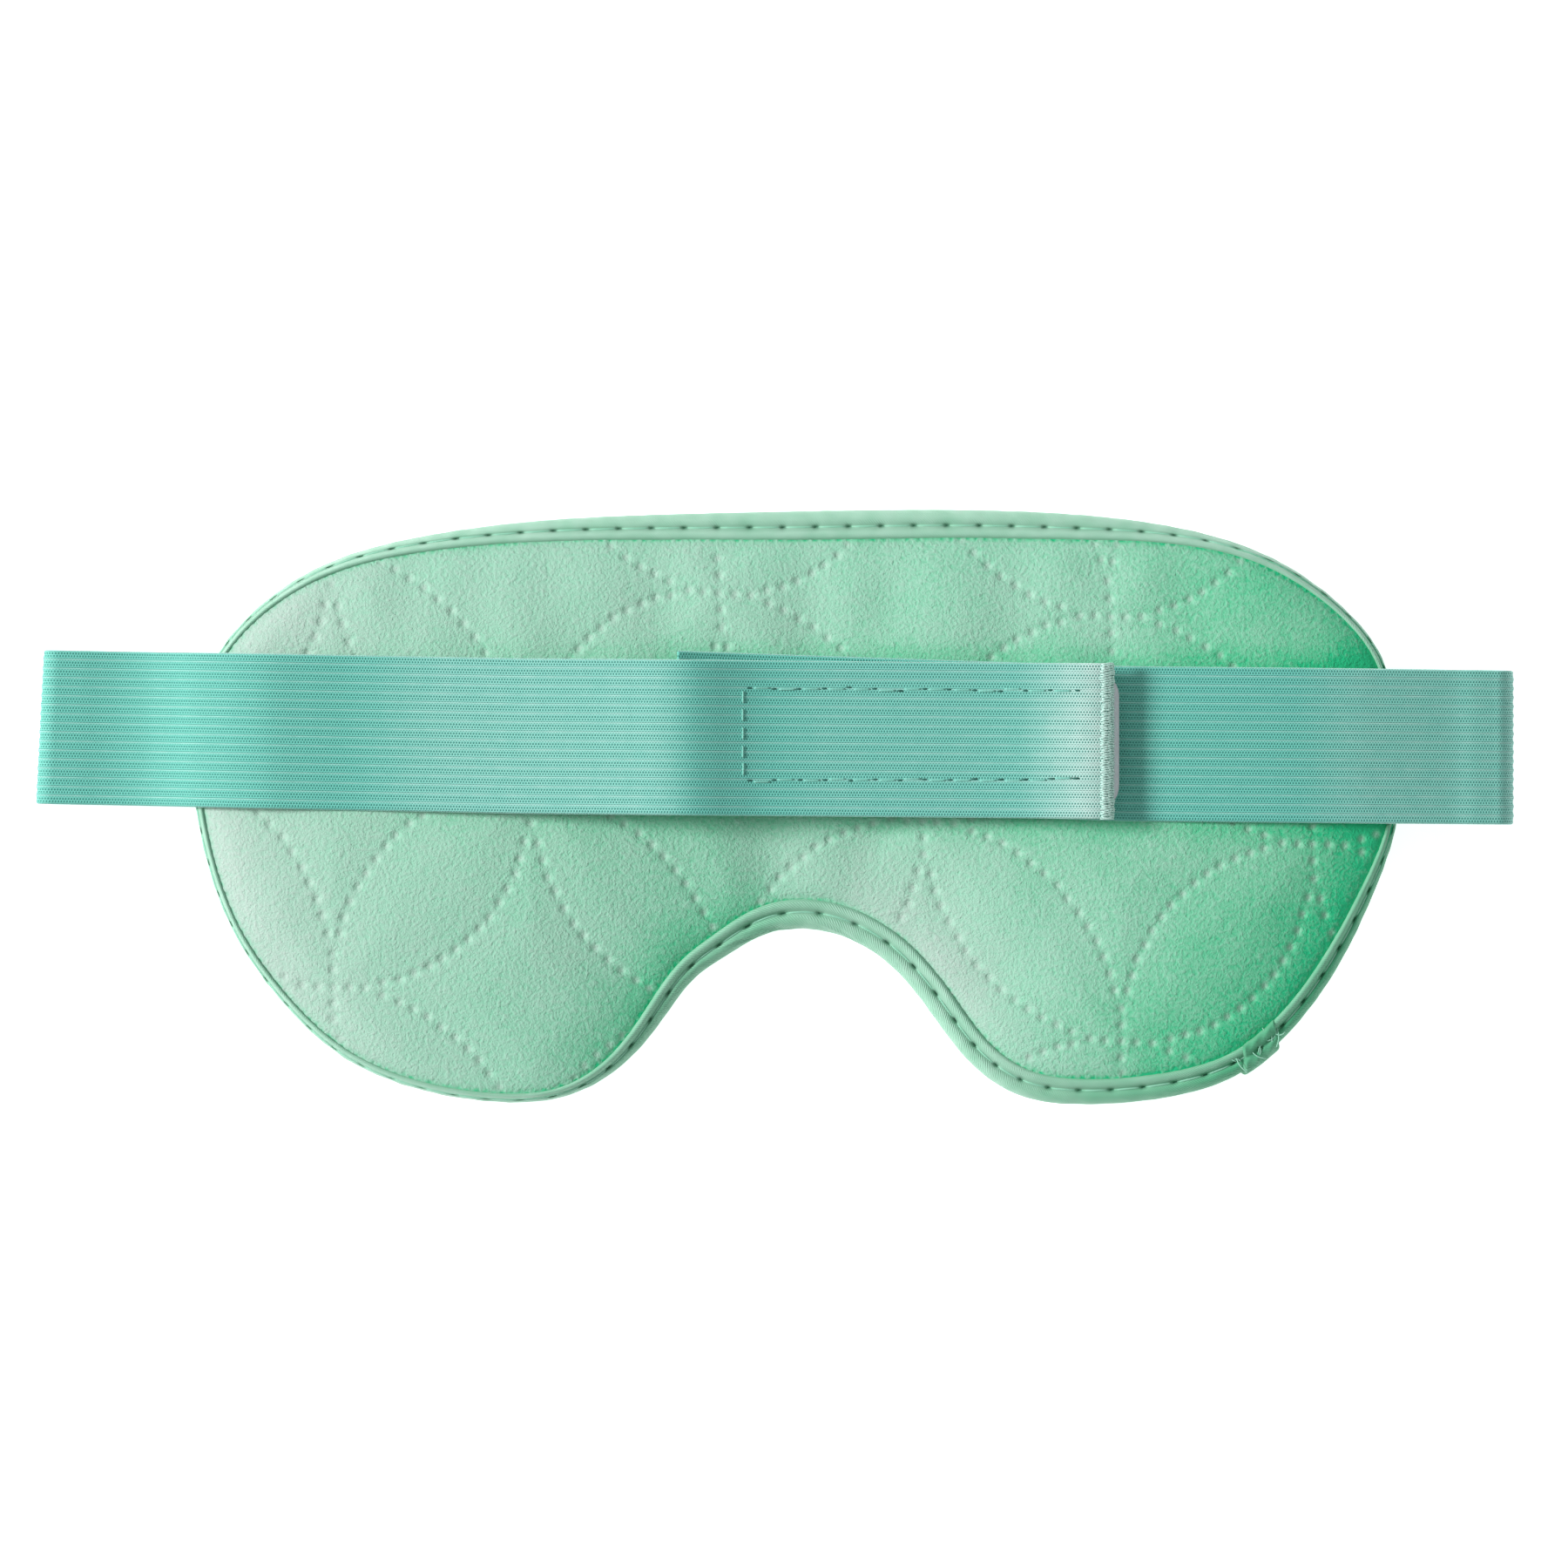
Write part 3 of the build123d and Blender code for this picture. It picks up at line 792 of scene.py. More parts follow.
def relaxed_membrane(loop, cell, rounds):
    """Height of a membrane held at a closed line and pushed up evenly, 1 at its highest, as a
    grid and where it lies: its corner and cell size."""
    low, high = loop.min(0) - 2 * cell, loop.max(0) + 2 * cell
    xs, ys = np.arange(low[0], high[0], cell), np.arange(low[1], high[1], cell)
    grid_x, grid_y = np.meshgrid(xs, ys)
    held = ~inside_loop(np.column_stack([grid_x.ravel(), grid_y.ravel()]), loop)
    held = held.reshape(grid_x.shape)
    height = np.zeros(grid_x.shape)
    for _ in range(rounds):
        around = (np.roll(height, 1, 0) + np.roll(height, -1, 0)
                  + np.roll(height, 1, 1) + np.roll(height, -1, 1)) / 4
        height = np.where(held, 0, around + 1)
    return height / height.max(), (low, cell)


def simulated_crown(loop, shape, where):
    """The height grid of a slack cloth panel that is held at a closed line and blown up from
    below, 1 at its highest. The cloth is simulated ten times larger than it is."""
    border = even_loop(loop, 3.0)
    flat_xy, faces = panel_mesh(border, 3.0)
    start = CLOTH_SCALE * 1.5 * sample_grid(shape, where, flat_xy)
    points = np.column_stack([flat_xy * CLOTH_SCALE, start])
    cloth_piece = make_piece("crown_cloth", points, faces, SUEDE)
    held = cloth_piece.vertex_groups.new(name="held")
    held.add(list(range(len(border))), 1.0, "REPLACE")
    cloth = cloth_piece.modifiers.new("cloth", "CLOTH")
    cloth.point_cache.frame_end = CLOTH_FRAMES
    settings = cloth.settings
    settings.quality = 6
    settings.tension_stiffness = settings.compression_stiffness = 12
    settings.bending_stiffness = 6
    settings.shrink_min = -CLOTH_SLACK
    settings.vertex_group_mass = "held"
    settings.use_pressure = True
    settings.uniform_pressure_force = 6
    settings.effector_weights.gravity = 0
    for number in range(1, CLOTH_FRAMES + 1):
        bpy.context.scene.frame_set(number)
    blown = cloth_piece.evaluated_get(bpy.context.evaluated_depsgraph_get()).data
    made = np.empty(len(blown.vertices) * 3)
    blown.vertices.foreach_get("co", made)
    made = made.reshape(-1, 3) / MM / CLOTH_SCALE
    bpy.data.objects.remove(cloth_piece)
    bpy.context.scene.frame_set(1)
    rows, columns = np.indices(shape.shape)
    low, cell = where
    cells = np.column_stack([columns.ravel(), rows.ravel()]) * cell + low
    grid = np.zeros(len(cells))
    for first in range(0, len(cells), 2000):
        gaps = ((cells[first:first + 2000, None] - made[None, :, :2]) ** 2).sum(2)
        weight = np.exp(-gaps / 4.5) + 1e-12
        grid[first:first + 2000] = (weight * made[:, 2]).sum(1) / weight.sum(1)
    grid = grid.reshape(shape.shape) * smoothstep(0, 0.04, shape)
    return grid / grid.max()


def sample_grid(grid, where, points):
    """Grid values at points, between its cells."""
    low, cell = where
    column = np.clip((points[:, 0] - low[0]) / cell, 0, grid.shape[1] - 2.001)
    row = np.clip((points[:, 1] - low[1]) / cell, 0, grid.shape[0] - 2.001)
    c, r = column.astype(int), row.astype(int)
    fc, fr = column - c, row - r
    return (grid[r, c] * (1 - fc) * (1 - fr) + grid[r, c + 1] * fc * (1 - fr)
            + grid[r + 1, c] * (1 - fc) * fr + grid[r + 1, c + 1] * fc * fr)


def soften(grid, times):
    for _ in range(times):
        grid = (grid + np.roll(grid, 1, 0) + np.roll(grid, -1, 0)
                + np.roll(grid, 1, 1) + np.roll(grid, -1, 1)) / 5
    return grid


fold_line = edge_xy - outward * (np.maximum(seen_width, 1.15) - 0.1)[:, None]
tuck = np.minimum(PANEL_TUCK, seen_width * 0.55)
panel_loop = even_loop(fold_line + outward * tuck[:, None], LOOP_STEP)
fold_loop = even_loop(fold_line, LOOP_STEP)
membrane, membrane_place = relaxed_membrane(fold_loop, 1.0, 1500)
dome = soften(np.power(membrane, 0.8), 2)
blown_up = simulated_crown(fold_loop, dome, membrane_place)
crown_grid = soften(np.clip(blown_up, 0, 1) ** 0.85, 12)
slope_y, slope_x = np.gradient(soften(dome, 6) * CROWN_HEIGHT, membrane_place[1])

dots = pattern_dots()
PIT_RINGS = [(0.22, 6), (0.45, 9), (0.72, 12), (1.05, 14)]
panel_xy, panel_faces = panel_mesh(panel_loop, 0.8, dots, PIT_RINGS)


def face_height(points):
    """Height of the quilted face, and how deep each point is in a pit."""
    crown = sample_grid(crown_grid, membrane_place, points)
    inward = loop_distance(points, fold_loop) * np.where(inside_loop(points, fold_loop), 1, -1)
    height = PANEL_EDGE_HEIGHT + CROWN_HEIGHT * crown
    height += 0.55 * smoothstep(0.0, 1.6, inward)
    away = line_distance(points)
    margin = smoothstep(0.8, 4.0, inward)
    height += margin * (0.34 * smoothstep(0.0, 7.5, away) - 0.12 * np.exp(-(away / 0.9) ** 2))
    gap = nearest(points, dots)
    pit = np.exp(-(gap / PIT_RADIUS) ** 2.4) * smoothstep(0.2, 1.2, inward)
    rim = np.exp(-((gap - 1.1) / 0.35) ** 2) * margin
    return height - PIT_DEPTH * pit + 0.09 * rim, pit


# Patches of painted light and shade on the suede: X, Y, radius and how much paler, above 0, or
# deeper, below 0
SHADE_PATCHES = [(66, -41, 19, -0.26), (73, 33, 13, -0.16), (-29, -24, 15, 0.13), (-22, 36, 30, 0.09),
           (91, 0, 16, 0.08), (87, 30, 10, 0.12), (-84, 34, 16, 0.17), (44, -12, 15, -0.10),
           (72, -10, 12, -0.06), (1, -5, 9, 0.10), (38, -37, 9, -0.14), (23, 34, 10, -0.07),
           (100, 2, 6, -0.07)]


def patch_shading(points):
    """Painted light, above 0, and painted shade, below 0, from the patches at points of the
    panel.
    """
    total = np.zeros(len(points))
    for x, y, radius, amount in SHADE_PATCHES:
        away = np.hypot(points[:, 0] - x, points[:, 1] - y)
        total += amount * np.exp(-(away / radius) ** 2)
    return total


# Painted light and shade on the suede: paler where the panel leans left, towards the light, and a
# little by its slope across.
# Painted shade makes it deeper beside the strap, in the crease along the binding and at the right
# end.
SHADING_LEVEL = 0.52             # on a level stretch, from 0 for the deepest to 1 for the palest
face_z, face_pit = face_height(panel_xy)
lean = sample_grid(slope_x, membrane_place, panel_xy)
rake = sample_grid(slope_y, membrane_place, panel_xy)
panel_x, panel_y = panel_xy.T
strap_middle = np.where(panel_x < 50, left_middle(panel_x), right_middle(panel_x))
from_strap = np.maximum(np.abs(panel_y - strap_middle) - STRAP_WIDTH / 2, 0)
pressed_pit_and_strap_shade = np.exp(-(from_strap / 3.2) ** 2) * smoothstep(-80, 0, panel_x)
leaning = np.where(lean < 0, 1.15, 1.0) * lean
crease_shade = np.exp(-(np.maximum(loop_distance(panel_xy, fold_loop) - 0.1, 0) / 0.4) ** 2)
nap = (SHADING_LEVEL + 1.15 * np.tanh(1.3 * leaning) + 0.05 * rake - 0.22 * pressed_pit_and_strap_shade - 0.7 * crease_shade
       - 0.10 * smoothstep(70, 98, panel_x) + patch_shading(panel_xy))
quilted_face = make_piece(
    "quilted_suede_face", np.column_stack([panel_xy, face_z]), panel_faces, SUEDE,
    nap=nap, pit=face_pit,
)
declare(quilted_face, "quilted_suede", "quilted_face", "quilt_wadding", "quilt_backing",
        "inner_bag", "flaxseed_fill_left", "flaxseed_fill_right", body="mask")

# ---- the outer cover, underneath
COVER_TUCK = 3.9             # the panel's edge lies inside the binding, above its lower lip
COVER_EDGE_HEIGHT = 4.0
COVER_DROP = 7.0             # more than its edge's height, so its middle lies flat on the floor
COVER_LEVEL_SHARE = 0.05     # share of the membrane's height over which the panel stays level
cover_loop = even_loop(edge_xy - outward * COVER_TUCK, 1.0)
cover_xy, cover_faces = panel_mesh(cover_loop, 1.6)
cover_membrane, cover_place = relaxed_membrane(cover_loop, 1.5, 700)
cover_grid = np.power(np.maximum(cover_membrane - COVER_LEVEL_SHARE, 0), 0.6)
cover_drop = sample_grid(cover_grid, cover_place, cover_xy)
cover_z = COVER_EDGE_HEIGHT - COVER_DROP * cover_drop
# Softly bent where it meets the floor
cover_z = 0.5 * (cover_z + np.sqrt(cover_z**2 + 0.25)) - 0.25 / (4 * COVER_EDGE_HEIGHT)
cover_tape = np.column_stack([cover_xy, np.zeros(len(cover_xy))])
outer_cover = make_piece(
    "outer_cover_panel", np.column_stack([cover_xy, np.maximum(cover_z, 0.02)]),
    [f[::-1] for f in cover_faces], COVER_SATIN, tape=cover_tape,
)
declare(outer_cover, "cover_satin", "outer_cover", "front_padding", body="mask")


# ---- straps
def open_fold(hinge, side, top, reach):
    """The strap's open loop at a fold, from its run on the ground up to its run on top, as
    points of an ellipse. Side is -1 at the left end."""
    middle, half = (GROUND_MIDDLE_Z + top) / 2, (top - GROUND_MIDDLE_Z) / 2
    turn = np.linspace(-math.pi / 2, math.pi / 2, 13)
    start = hinge[0] + side * (LOOP_OVERHANG - reach)
    return [(start + side * reach * math.cos(a), middle + half * math.sin(a)) for a in turn]


def sparse(x):
    """Spacing along a strap: close at the folds and at the end, wider between."""
    at_fold, at_end = abs(x) > 112, 48 < x < 57
    return 0.4 if at_fold or at_end else 1.1


def skew(x, across):
    """The left fold isn't square to the strap, and so it is sheared there."""
    return 0.65 * across / (STRAP_WIDTH / 2) * smoothstep(-100, -116, x)


def ribbon(name, path, middle, start_run=0.0, paleness=None, sheared=False):
    """A ribbed elastic tape along a path in the XZ plane. An extra row close to each end keeps
    the shading of the cut ends off the surface."""
    close = [end + (next_to - end) * 0.03 for end, next_to in (path[:2], path[:-3:-1])]
    path = np.vstack([path[:1], close[:1], path[1:-1], close[1:], path[-1:]])
    run = run_along(path)
    tangent = np.gradient(path, axis=0)
    tangent /= np.linalg.norm(tangent, axis=1)[:, None]
    normal = np.column_stack([-tangent[:, 1], tangent[:, 0]])
    across = np.linspace(-STRAP_WIDTH / 2, STRAP_WIDTH / 2, WEAVE_RIBS * 6 + 1)
    ridge = 0.5 + 0.5 * np.cos(2 * math.pi * (across + RIB_SHIFT) / RIB_PITCH)
    from_edge = STRAP_WIDTH / 2 - np.abs(across)
    rounding = np.sqrt(np.clip(1 - (1 - np.clip(from_edge / 0.5, 0, 1)) ** 2, 0, 1))
    half = (STRAP_THICKNESS / 2 - 0.12) * (0.25 + 0.75 * rounding) + 0.16 * ridge**2 * rounding
    upper = np.column_stack([across, half])
    lower = np.column_stack([across, -half])[::-1]
    section = np.vstack([upper, lower])
    count = len(section)
    x = path[:, 0, None] + normal[:, 0, None] * section[None, :, 1]
    z = path[:, 1, None] + normal[:, 1, None] * section[None, :, 1]
    y = np.asarray(middle(path[:, 0]))[:, None] + section[None, :, 0]
    if sheared:
        x = x + skew(path[:, 0, None], section[None, :, 0])
    points = np.stack([x, y, z], axis=2).reshape(-1, 3)
    faces = grid_faces(len(path), count, close_columns=True)
    last = (len(path) - 1) * count
    faces.append(tuple(range(count)))
    faces.append(tuple(last + c for c in reversed(range(count))))
    weave = np.zeros((len(path), count, 3))
    weave[:, :, 0] = (run + start_run)[:, None]
    weave[:, :, 1] = section[None, :, 0] + RIB_SHIFT
    if paleness:
        weave[:, :, 2] = paleness(path[:, 0])[:, None]
    piece = make_piece(name, points, faces, ELASTIC, weave=weave.reshape(-1, 3))
    return piece, run[-1]


STRAP_SPLIT_X = -24.0        # the left half is one piece up to here and another beyond it
LEFT_FOLD_TOP = 4.4          # low enough to stay off the floor when the half is opened
RIGHT_FOLD_TOP = 7.8


def left_paleness(x):
    """The elastic is paler where it is stretched over the other half's end, partly as painted
    light where it climbs towards the light, and near its own frayed end, where it is worn."""
    stretched_and_lit = smoothstep(-72, -52, x) * smoothstep(-12, -20, x)
    return 0.22 * stretched_and_lit + 0.10 * smoothstep(-2, 10, x) + 0.9 * smoothstep(38, 54.9, x)


def right_paleness(x):
    """The right half is painted light, a little paler, where it falls past the pillow's edge away
    from the light.
    """
    return 0.18 * smoothstep(84, 96, x)


TAB_MIDDLE_Z = (TAB_LOW[2] + TAB_HIGH[2]) / 2
RIGHT_MIDDLE_Z = RIGHT_HIGH[2] - 0.6
left_fold = open_fold(LEFT_HINGE, -1, LEFT_FOLD_TOP, 2.4)
left_knots = left_fold + [
    (-115.0, 4.5), (-111.0, 4.5), (-107.5, 4.8), (-103.5, 5.7), (-99.5, 7.4), (-95.5, 9.5),
    (-91.5, 11.1), (-87.5, 12.3), (-83.0, 13.1), (-77.0, 13.2), (-69.0, 13.2), (-60.0, 13.8),
    (-50.0, 14.9), (-40.0, 16.3), (-31.0, 17.8), (-24.0, 19.1), (-18.5, 20.1), (-14.5, 20.3),
    (-11.0, 19.6), (-7.5, 18.5), (-3.5, 17.5), (1.0, 17.0),
] + [(x, TAB_MIDDLE_Z + rise) for x, rise in (
    (8.0, 0.1), (20.0, 0.1), (32.0, 0.2), (40.0, 0.7), (46.0, 1.5), (50.0, 2.0), (52.6, 1.9),
    (54.2, 1.2), (54.9, 0.2))]
left_path = smooth_path(left_knots, sparse)
split = int(np.argmin(np.abs(left_path[:, 0] - STRAP_SPLIT_X)))
left_strap, left_length = ribbon("left_strap_elastic", left_path[:split + 1], left_middle,
                                 paleness=left_paleness, sheared=True)
tab_strap, tab_length = ribbon("hook_tab_elastic", left_path[split:], left_middle,
                               start_run=left_length, paleness=left_paleness)
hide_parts("left_strap")
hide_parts("hook_tab")

right_fold = open_fold(RIGHT_HINGE, 1, RIGHT_FOLD_TOP, 3.2)
right_knots = right_fold + [
    (114.5, 8.4), (111.0, 8.8), (106.0, 9.9), (100.0, 11.2), (94.0, 12.3), (86.0, 13.1),
] + [(x, RIGHT_MIDDLE_Z + rise) for x, rise in (
    (76.0, 0.0), (60.0, 0.0), (40.0, 0.0), (20.0, 0.0), (2.0, 0.0), (-5.0, 0.6), (-11.0, 2.2),
    (-16.0, 4.0))]
right_path = smooth_path(right_knots, sparse)
right_strap, right_length = ribbon("right_strap_elastic", right_path, right_middle,
                                   paleness=right_paleness)
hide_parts("right_strap")


def ground_run(name, fold_start, side, node, sheared=False):
    """The strap's hidden run from the side seam down to the floor and out to its fold."""
    low, high = node_box(node)
    inner_x = high[0] if side < 0 else low[0]
    outline_x = BINDING_LOW[0] if side < 0 else BINDING_HIGH[0]
    knots = [(inner_x, 4.85), (outline_x - side * 1.5, 4.7), (outline_x + side * 2, 3.0),
             (outline_x + side * 5.5, 0.9), (outline_x + side * 9, GROUND_MIDDLE_Z),
             (fold_start, GROUND_MIDDLE_Z)]
    middle = left_middle if side < 0 else right_middle
    piece, length = ribbon(name, smooth_path(knots, sparse), middle, sheared=sheared)
    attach(piece, "mask")
    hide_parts(node)
    return piece, length


left_ground, left_ground_length = ground_run(
    "left_strap_fixed_elastic", left_fold[0][0], -1, "left_strap_fixed_run", sheared=True)
right_ground, right_ground_length = ground_run(
    "right_strap_fixed_elastic", right_fold[0][0], 1, "right_strap_fixed_run")


# ---- hook-and-loop closure
def rounded_patch(low, high, corner, bottom, top, middle, rise):
    """Points and faces of a thin rounded oblong that follows the strap's skew and rise."""
    length, width = high[0] - low[0], high[1] - low[1]
    outline = []
    for cx, cy, start in ((1, 1, 0), (-1, 1, 90), (-1, -1, 180), (1, -1, 270)):
        for angle in np.radians(np.linspace(start, start + 90, 7)):
            outline.append((cx * (length / 2 - corner) + corner * math.cos(angle),
                            cy * (width / 2 - corner) + corner * math.sin(angle)))
    loop = even_loop(np.array(outline), 0.9)
    flat_xy, faces = panel_mesh(loop, 1.5)
    centre_x = (low[0] + high[0]) / 2
    x = flat_xy[:, 0] + centre_x
    y = flat_xy[:, 1] + middle(x)
    count, ring = len(flat_xy), len(loop)
    points = np.vstack([np.column_stack([x, y, rise(x) + level]) for level in (top, bottom)])
    walls = [(k, count + k, count + (k + 1) % ring, (k + 1) % ring) for k in range(ring)]
    all_faces = list(faces) + [tuple(count + v for v in f[::-1]) for f in faces] + walls
    return points, all_faces


def rise_along(path, level):
    """A function of X: how far a strap's middle stands above a level."""
    order = np.argsort(path[:, 0])
    xs, zs = path[order, 0], path[order, 1]
    return lambda x: np.interp(x, xs, zs) - level


tab_stretch = left_path[split:]
tab_rise = rise_along(tab_stretch[tab_stretch[:, 0] < 52.6], TAB_MIDDLE_Z)
right_rise = rise_along(right_path[right_path[:, 0] < 100], RIGHT_MIDDLE_Z)
HOOK_BASE, LOOP_BASE = 0.4, 0.35          # thickness of the two tapes under hooks and loops
HOOK_PITCH, LOOP_PITCH = 1.3, 1.15


def frayed_fibres():
    """Cut yarns at the tab's end: two crossing families that curl over and down."""
    paths = []
    end_x = tab_stretch[-1, 0]
    turn = np.linspace(0, 1, 7)
    for across in np.arange(-STRAP_WIDTH / 2, STRAP_WIDTH / 2, 0.4):
        for way in (-1, 1):
            reach = dice.uniform(0.4, 0.8)
            start_x = end_x - dice.uniform(1.7, 2.1)
            x = start_x + (end_x - start_x + 0.35 * reach) * np.sin(turn * math.pi / 2)
            drop = dice.uniform(1.0, 1.9) * turn**2.2
            top = tab_rise(np.minimum(x, 52.4)) + TAB_MIDDLE_Z + STRAP_THICKNESS / 2 + 0.06
            top = np.where(x > 52.4, top[0] - 0.25 * (x - 52.4), top)
            sideways = across + 0.6 * way * turn + dice.normal(0, 0.05)
            y = left_middle(end_x) + np.clip(sideways, -STRAP_WIDTH / 2, STRAP_WIDTH / 2)
            paths.append(np.column_stack([x, y, top - drop * smoothstep(0.2, 1.0, turn)]))
    return paths


def hook_rise(x):
    """The hook tape follows the tab, but stays nearly flat at its stiff far end."""
    return np.where(x > 30, 0.55 * tab_rise(x) + 0.1, np.minimum(tab_rise(x), 0.35))


hook_points, hook_faces = rounded_patch(
    HOOK_LOW, HOOK_HIGH, 3.5, TAB_LOW[2] - 0.05 - HOOK_BASE, TAB_LOW[2] - 0.05, left_middle,
    hook_rise)
hook_patch = make_piece("hook_patch_tape", hook_points, hook_faces, HOOK_TAPE)
declare(hook_patch, "hook_tape", "hook_patch")


def hooks():
    """Rows of small moulded hooks under the hook tape."""
    paths = []
    for x in np.arange(HOOK_LOW[0] + 1.5, HOOK_HIGH[0] - 1.2, HOOK_PITCH):
        for across in np.arange(-9.8, 9.9, HOOK_PITCH):
            y = left_middle(x) + across
            root = TAB_LOW[2] - HOOK_BASE + float(hook_rise(np.array(x)))
            paths.append([(x, y, root), (x, y, root - 0.25), (x + 0.12, y, root - 0.40),
                          (x + 0.30, y, root - 0.34)])
    return paths


hook_pins = make_threads("hook_patch_hooks", hooks(), 0.09, HOOK_TAPE, "hook_tape", sides=4)
tab_fray = make_threads("hook_tab_frayed_end", frayed_fibres(), 0.09, FRAY, "woven_elastic",
                        sides=4)

loop_points, loop_faces = rounded_patch(
    LOOP_LOW, LOOP_HIGH, 2.5, LOOP_LOW[2] - 0.1, LOOP_LOW[2] + LOOP_BASE, right_middle,
    right_rise)
loop_patch = make_piece("loop_patch_tape", loop_points, loop_faces, LOOP_TAPE)
declare(loop_patch, "loop_tape", "loop_patch", body="right_strap")


def loops():
    """A pile of small loose loops on the loop tape."""
    paths = []
    turn = np.linspace(0, math.pi, 5)
    for x in np.arange(LOOP_LOW[0] + 1.2, LOOP_HIGH[0] - 1.0, LOOP_PITCH):
        for across in np.arange(-10.2, 10.3, LOOP_PITCH):
            dx, dy = dice.uniform(-0.4, 0.4, 2)
            lie = dice.uniform(0, 2 * math.pi)
            span, tall = dice.uniform(0.35, 0.6), dice.uniform(0.25, 0.42)
            level = LOOP_LOW[2] + LOOP_BASE + right_rise(x)
            base = np.array([x + dx, right_middle(x) + across + dy, level])
            paths.append([base + (span * math.cos(t) * math.cos(lie),
                                  span * math.cos(t) * math.sin(lie), tall * math.sin(t))
                          for t in turn])
    return paths


make_threads("loop_patch_pile", loops(), 0.07, LOOP_TAPE, "loop_tape", sides=3,
             body="right_strap")


def patch_stitches(rows, surface, middle, side):
    """Thread bars in rows on the strap's surface. Side is 1 on its top and -1 underneath."""
    paths = []
    arch = np.sin(np.linspace(0, math.pi, 7))
    for x0, v0, x1, v1, count in rows:
        for number in range(count):
            shares = (number + np.linspace(0.18, 0.82, 7)) / count
            xs = x0 + (x1 - x0) * shares + dice.normal(0, 0.06)
            vs = v0 + (v1 - v0) * shares + dice.normal(0, 0.12)
            zs = surface(xs) + side * (0.12 * arch - 0.05)
            paths.append(np.column_stack([xs, middle(xs) + vs, zs]))
    return paths


def tab_top(x):
    return TAB_MIDDLE_Z + tab_rise(x) + STRAP_THICKNESS / 2


# Rows of stitches: X and distance across at the start and at the end, and number of stitches
hook_rows = [(-4.4, 8.1, 48.9, 8.2, 13), (-4.4, -6.9, 48.9, -6.2, 13),
             (-5.4, -6.7, -5.4, 8.0, 5)]
hook_stitches = make_threads(
    "hook_patch_stitch_thread", patch_stitches(hook_rows, tab_top, left_middle, 1),
    THREAD_RADIUS, PATCH_THREAD, "patch_thread", "hook_patch_stitching")


def needle_holes(rows, surface, middle):
    """Short dark slots of painted shade where the thread goes down, between each pair of
    stitches.
    """
    paths = []
    steps = np.linspace(-0.5, 0.5, 5)
    for x0, v0, x1, v1, count in rows:
        along = np.array([x1 - x0, v1 - v0]) / math.hypot(x1 - x0, v1 - v0)
        for number in range(count + 1):
            middle_x = x0 + (x1 - x0) * number / count + dice.normal(0, 0.08)
            middle_v = v0 + (v1 - v0) * number / count + dice.normal(0, 0.08)
            xs, vs = middle_x + along[0] * steps, middle_v + along[1] * steps
            zs = surface(xs) + 0.02 - 0.9 * steps**2
            paths.append(np.column_stack([xs, middle(xs) + vs, zs]))
    return paths


hook_holes = make_threads(
    "hook_patch_needle_hole_shade", needle_holes(hook_rows[:2], tab_top, left_middle),
    THREAD_RADIUS, HOLE_SHADE, "patch_thread", sides=6)
LOOP_EDGE = 2.6              # from the loop patch's ends to its stitches


def right_underside(x):
    return RIGHT_MIDDLE_Z + right_rise(x) - STRAP_THICKNESS / 2


loop_start, loop_end = LOOP_LOW[0] + LOOP_EDGE, LOOP_HIGH[0] - LOOP_EDGE
long_row = round((loop_end - loop_start) / 4.0)
loop_rows = [(loop_start, across, loop_end, across, long_row) for across in (8.4, -8.4)]
loop_rows += [(x, -8.0, x, 8.0, 4) for x in (loop_start, loop_end)]
make_threads("loop_patch_stitch_thread",
             patch_stitches(loop_rows, right_underside, right_middle, -1), THREAD_RADIUS,
             PATCH_THREAD, "patch_thread", "loop_patch_stitching", body="right_strap")

# ---- strap pieces, with their placement baked into their meshes
for piece in (tab_strap, tab_fray, hook_patch, hook_pins, hook_stitches, hook_holes):
    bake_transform(piece)
for piece, hinge, body, top in ((left_strap, LEFT_HINGE, "left_strap", LEFT_FOLD_TOP),
                                (right_strap, RIGHT_HINGE, "right_strap", RIGHT_FOLD_TOP)):
    hinge[0] * MM
    hinge[1] * MM
    hinge[0] * MM
    hinge[1] * MM
    (top - 0.7) * MM
    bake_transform(piece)
for piece, length, rests_on in (
        (left_strap, left_length, [quilted_face]), (tab_strap, tab_length, [right_strap]),
        (right_strap, right_length, [quilted_face]), (left_ground, left_ground_length, []),
        (right_ground, right_ground_length, [])):
    length * MM

# ---- small CAD pieces that stay
for node in ("left_strap_tack", "right_strap_tack"):
    frame["nodes"][node].data.materials.clear()
    frame["nodes"][node].data.materials.append(THREAD)

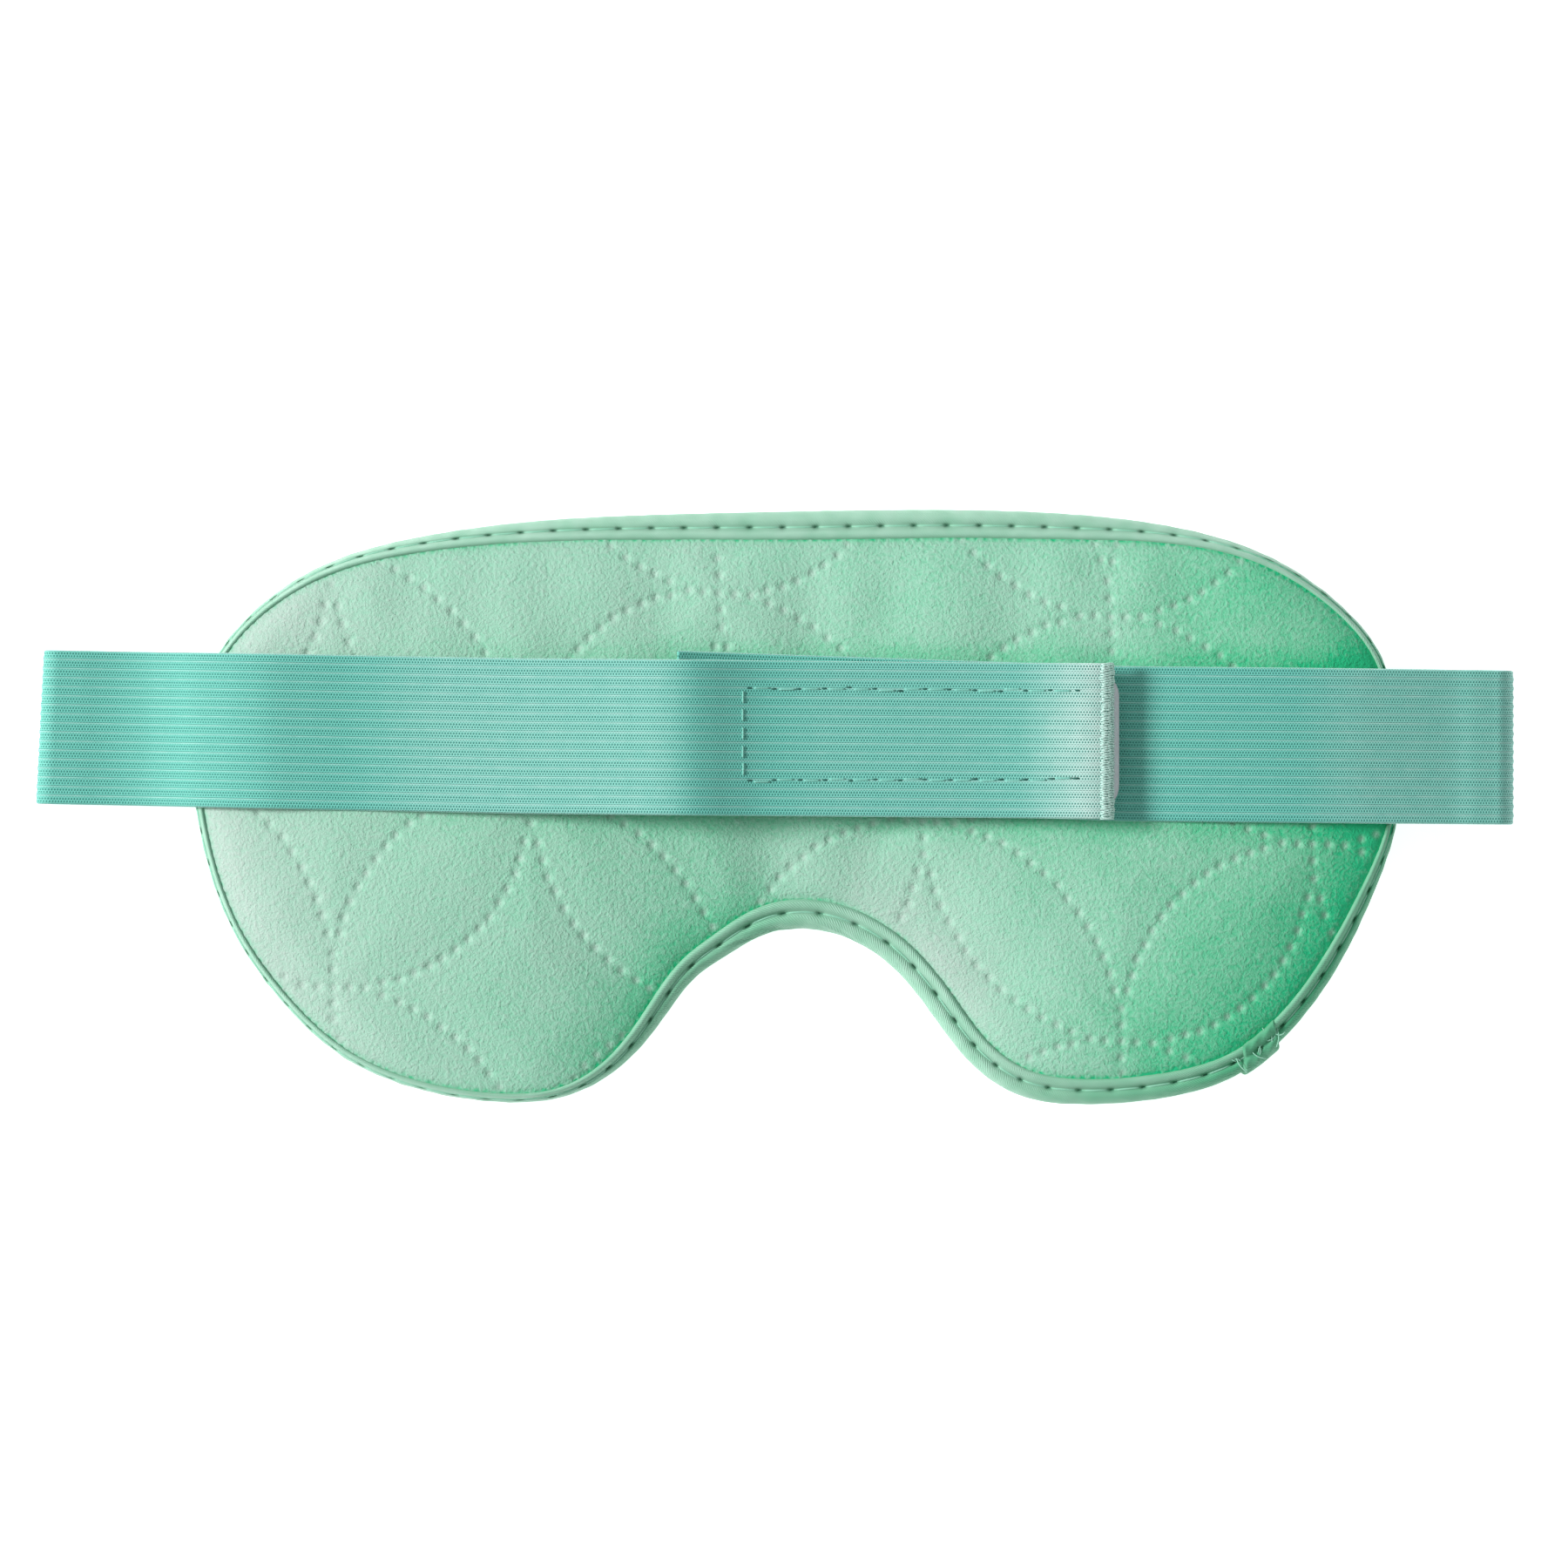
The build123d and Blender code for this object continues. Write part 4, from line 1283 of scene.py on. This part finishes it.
# ---- stage, light and camera
FLOOR_HALF, FLOOR_Z = 3000, -0.05
VIEW_WIDTH = 257.1
VIEW_CENTRE = (1.3, 3.8)
VIEW_PLANE_Z = 11.0
LENS, SENSOR = 200.0, 36.0

floor_material, floor_tree, floor_shader = new_material("floor", {
    "Roughness": 0.9, "Base Color": (0.95, 0.95, 0.95, 1), "Emission Color": (1, 1, 1, 1),
    "Emission Strength": 0.75})
# Seen from below, the floor is clear
open_below = put(floor_tree, "ShaderNodeMixShader", 0, {
    0: put(floor_tree, "ShaderNodeNewGeometry", "Backfacing"),
    1: Value(floor_tree, floor_shader.outputs[0]),
    2: put(floor_tree, "ShaderNodeBsdfTransparent", 0)})
open_below.feed(floor_tree.nodes["Material Output"].inputs["Surface"])
floor_corners = [(x * FLOOR_HALF, y * FLOOR_HALF, FLOOR_Z)
                 for x, y in ((-1, -1), (1, -1), (1, 1), (-1, 1))]
floor = make_piece("floor", floor_corners, [(0, 1, 2, 3)], floor_material)

world = bpy.data.worlds.new("studio")
bpy.context.scene.world = world
world.use_nodes = True
sky = world.node_tree.nodes["Background"].inputs
sky["Color"].default_value = (0.93, 1.0, 0.98, 1)
sky["Strength"].default_value = 0.42

KEY_PLACE = Vector((-5900, 1100, 4000))
light = bpy.data.lights.new("key", "AREA")
light.shape = "DISK"
light.size = 2000 * MM
light.energy = 575
lamp = bpy.data.objects.new("key", light)
lamp.location = KEY_PLACE * MM
lamp.rotation_euler = (-KEY_PLACE).to_track_quat("-Z", "Y").to_euler()
bpy.context.scene.collection.objects.link(lamp)

camera_data = bpy.data.cameras.new("camera")
camera_data.lens = LENS
camera_data.sensor_width = SENSOR
camera = bpy.data.objects.new("camera", camera_data)
distance = LENS * VIEW_WIDTH / SENSOR
camera.location = Vector((VIEW_CENTRE[0], VIEW_CENTRE[1], VIEW_PLANE_Z + distance)) * MM
camera_data.clip_start, camera_data.clip_end = 0.05, 10
bpy.context.scene.collection.objects.link(camera)
bpy.context.scene.camera = camera
bpy.context.scene.view_settings.view_transform = "Standard"
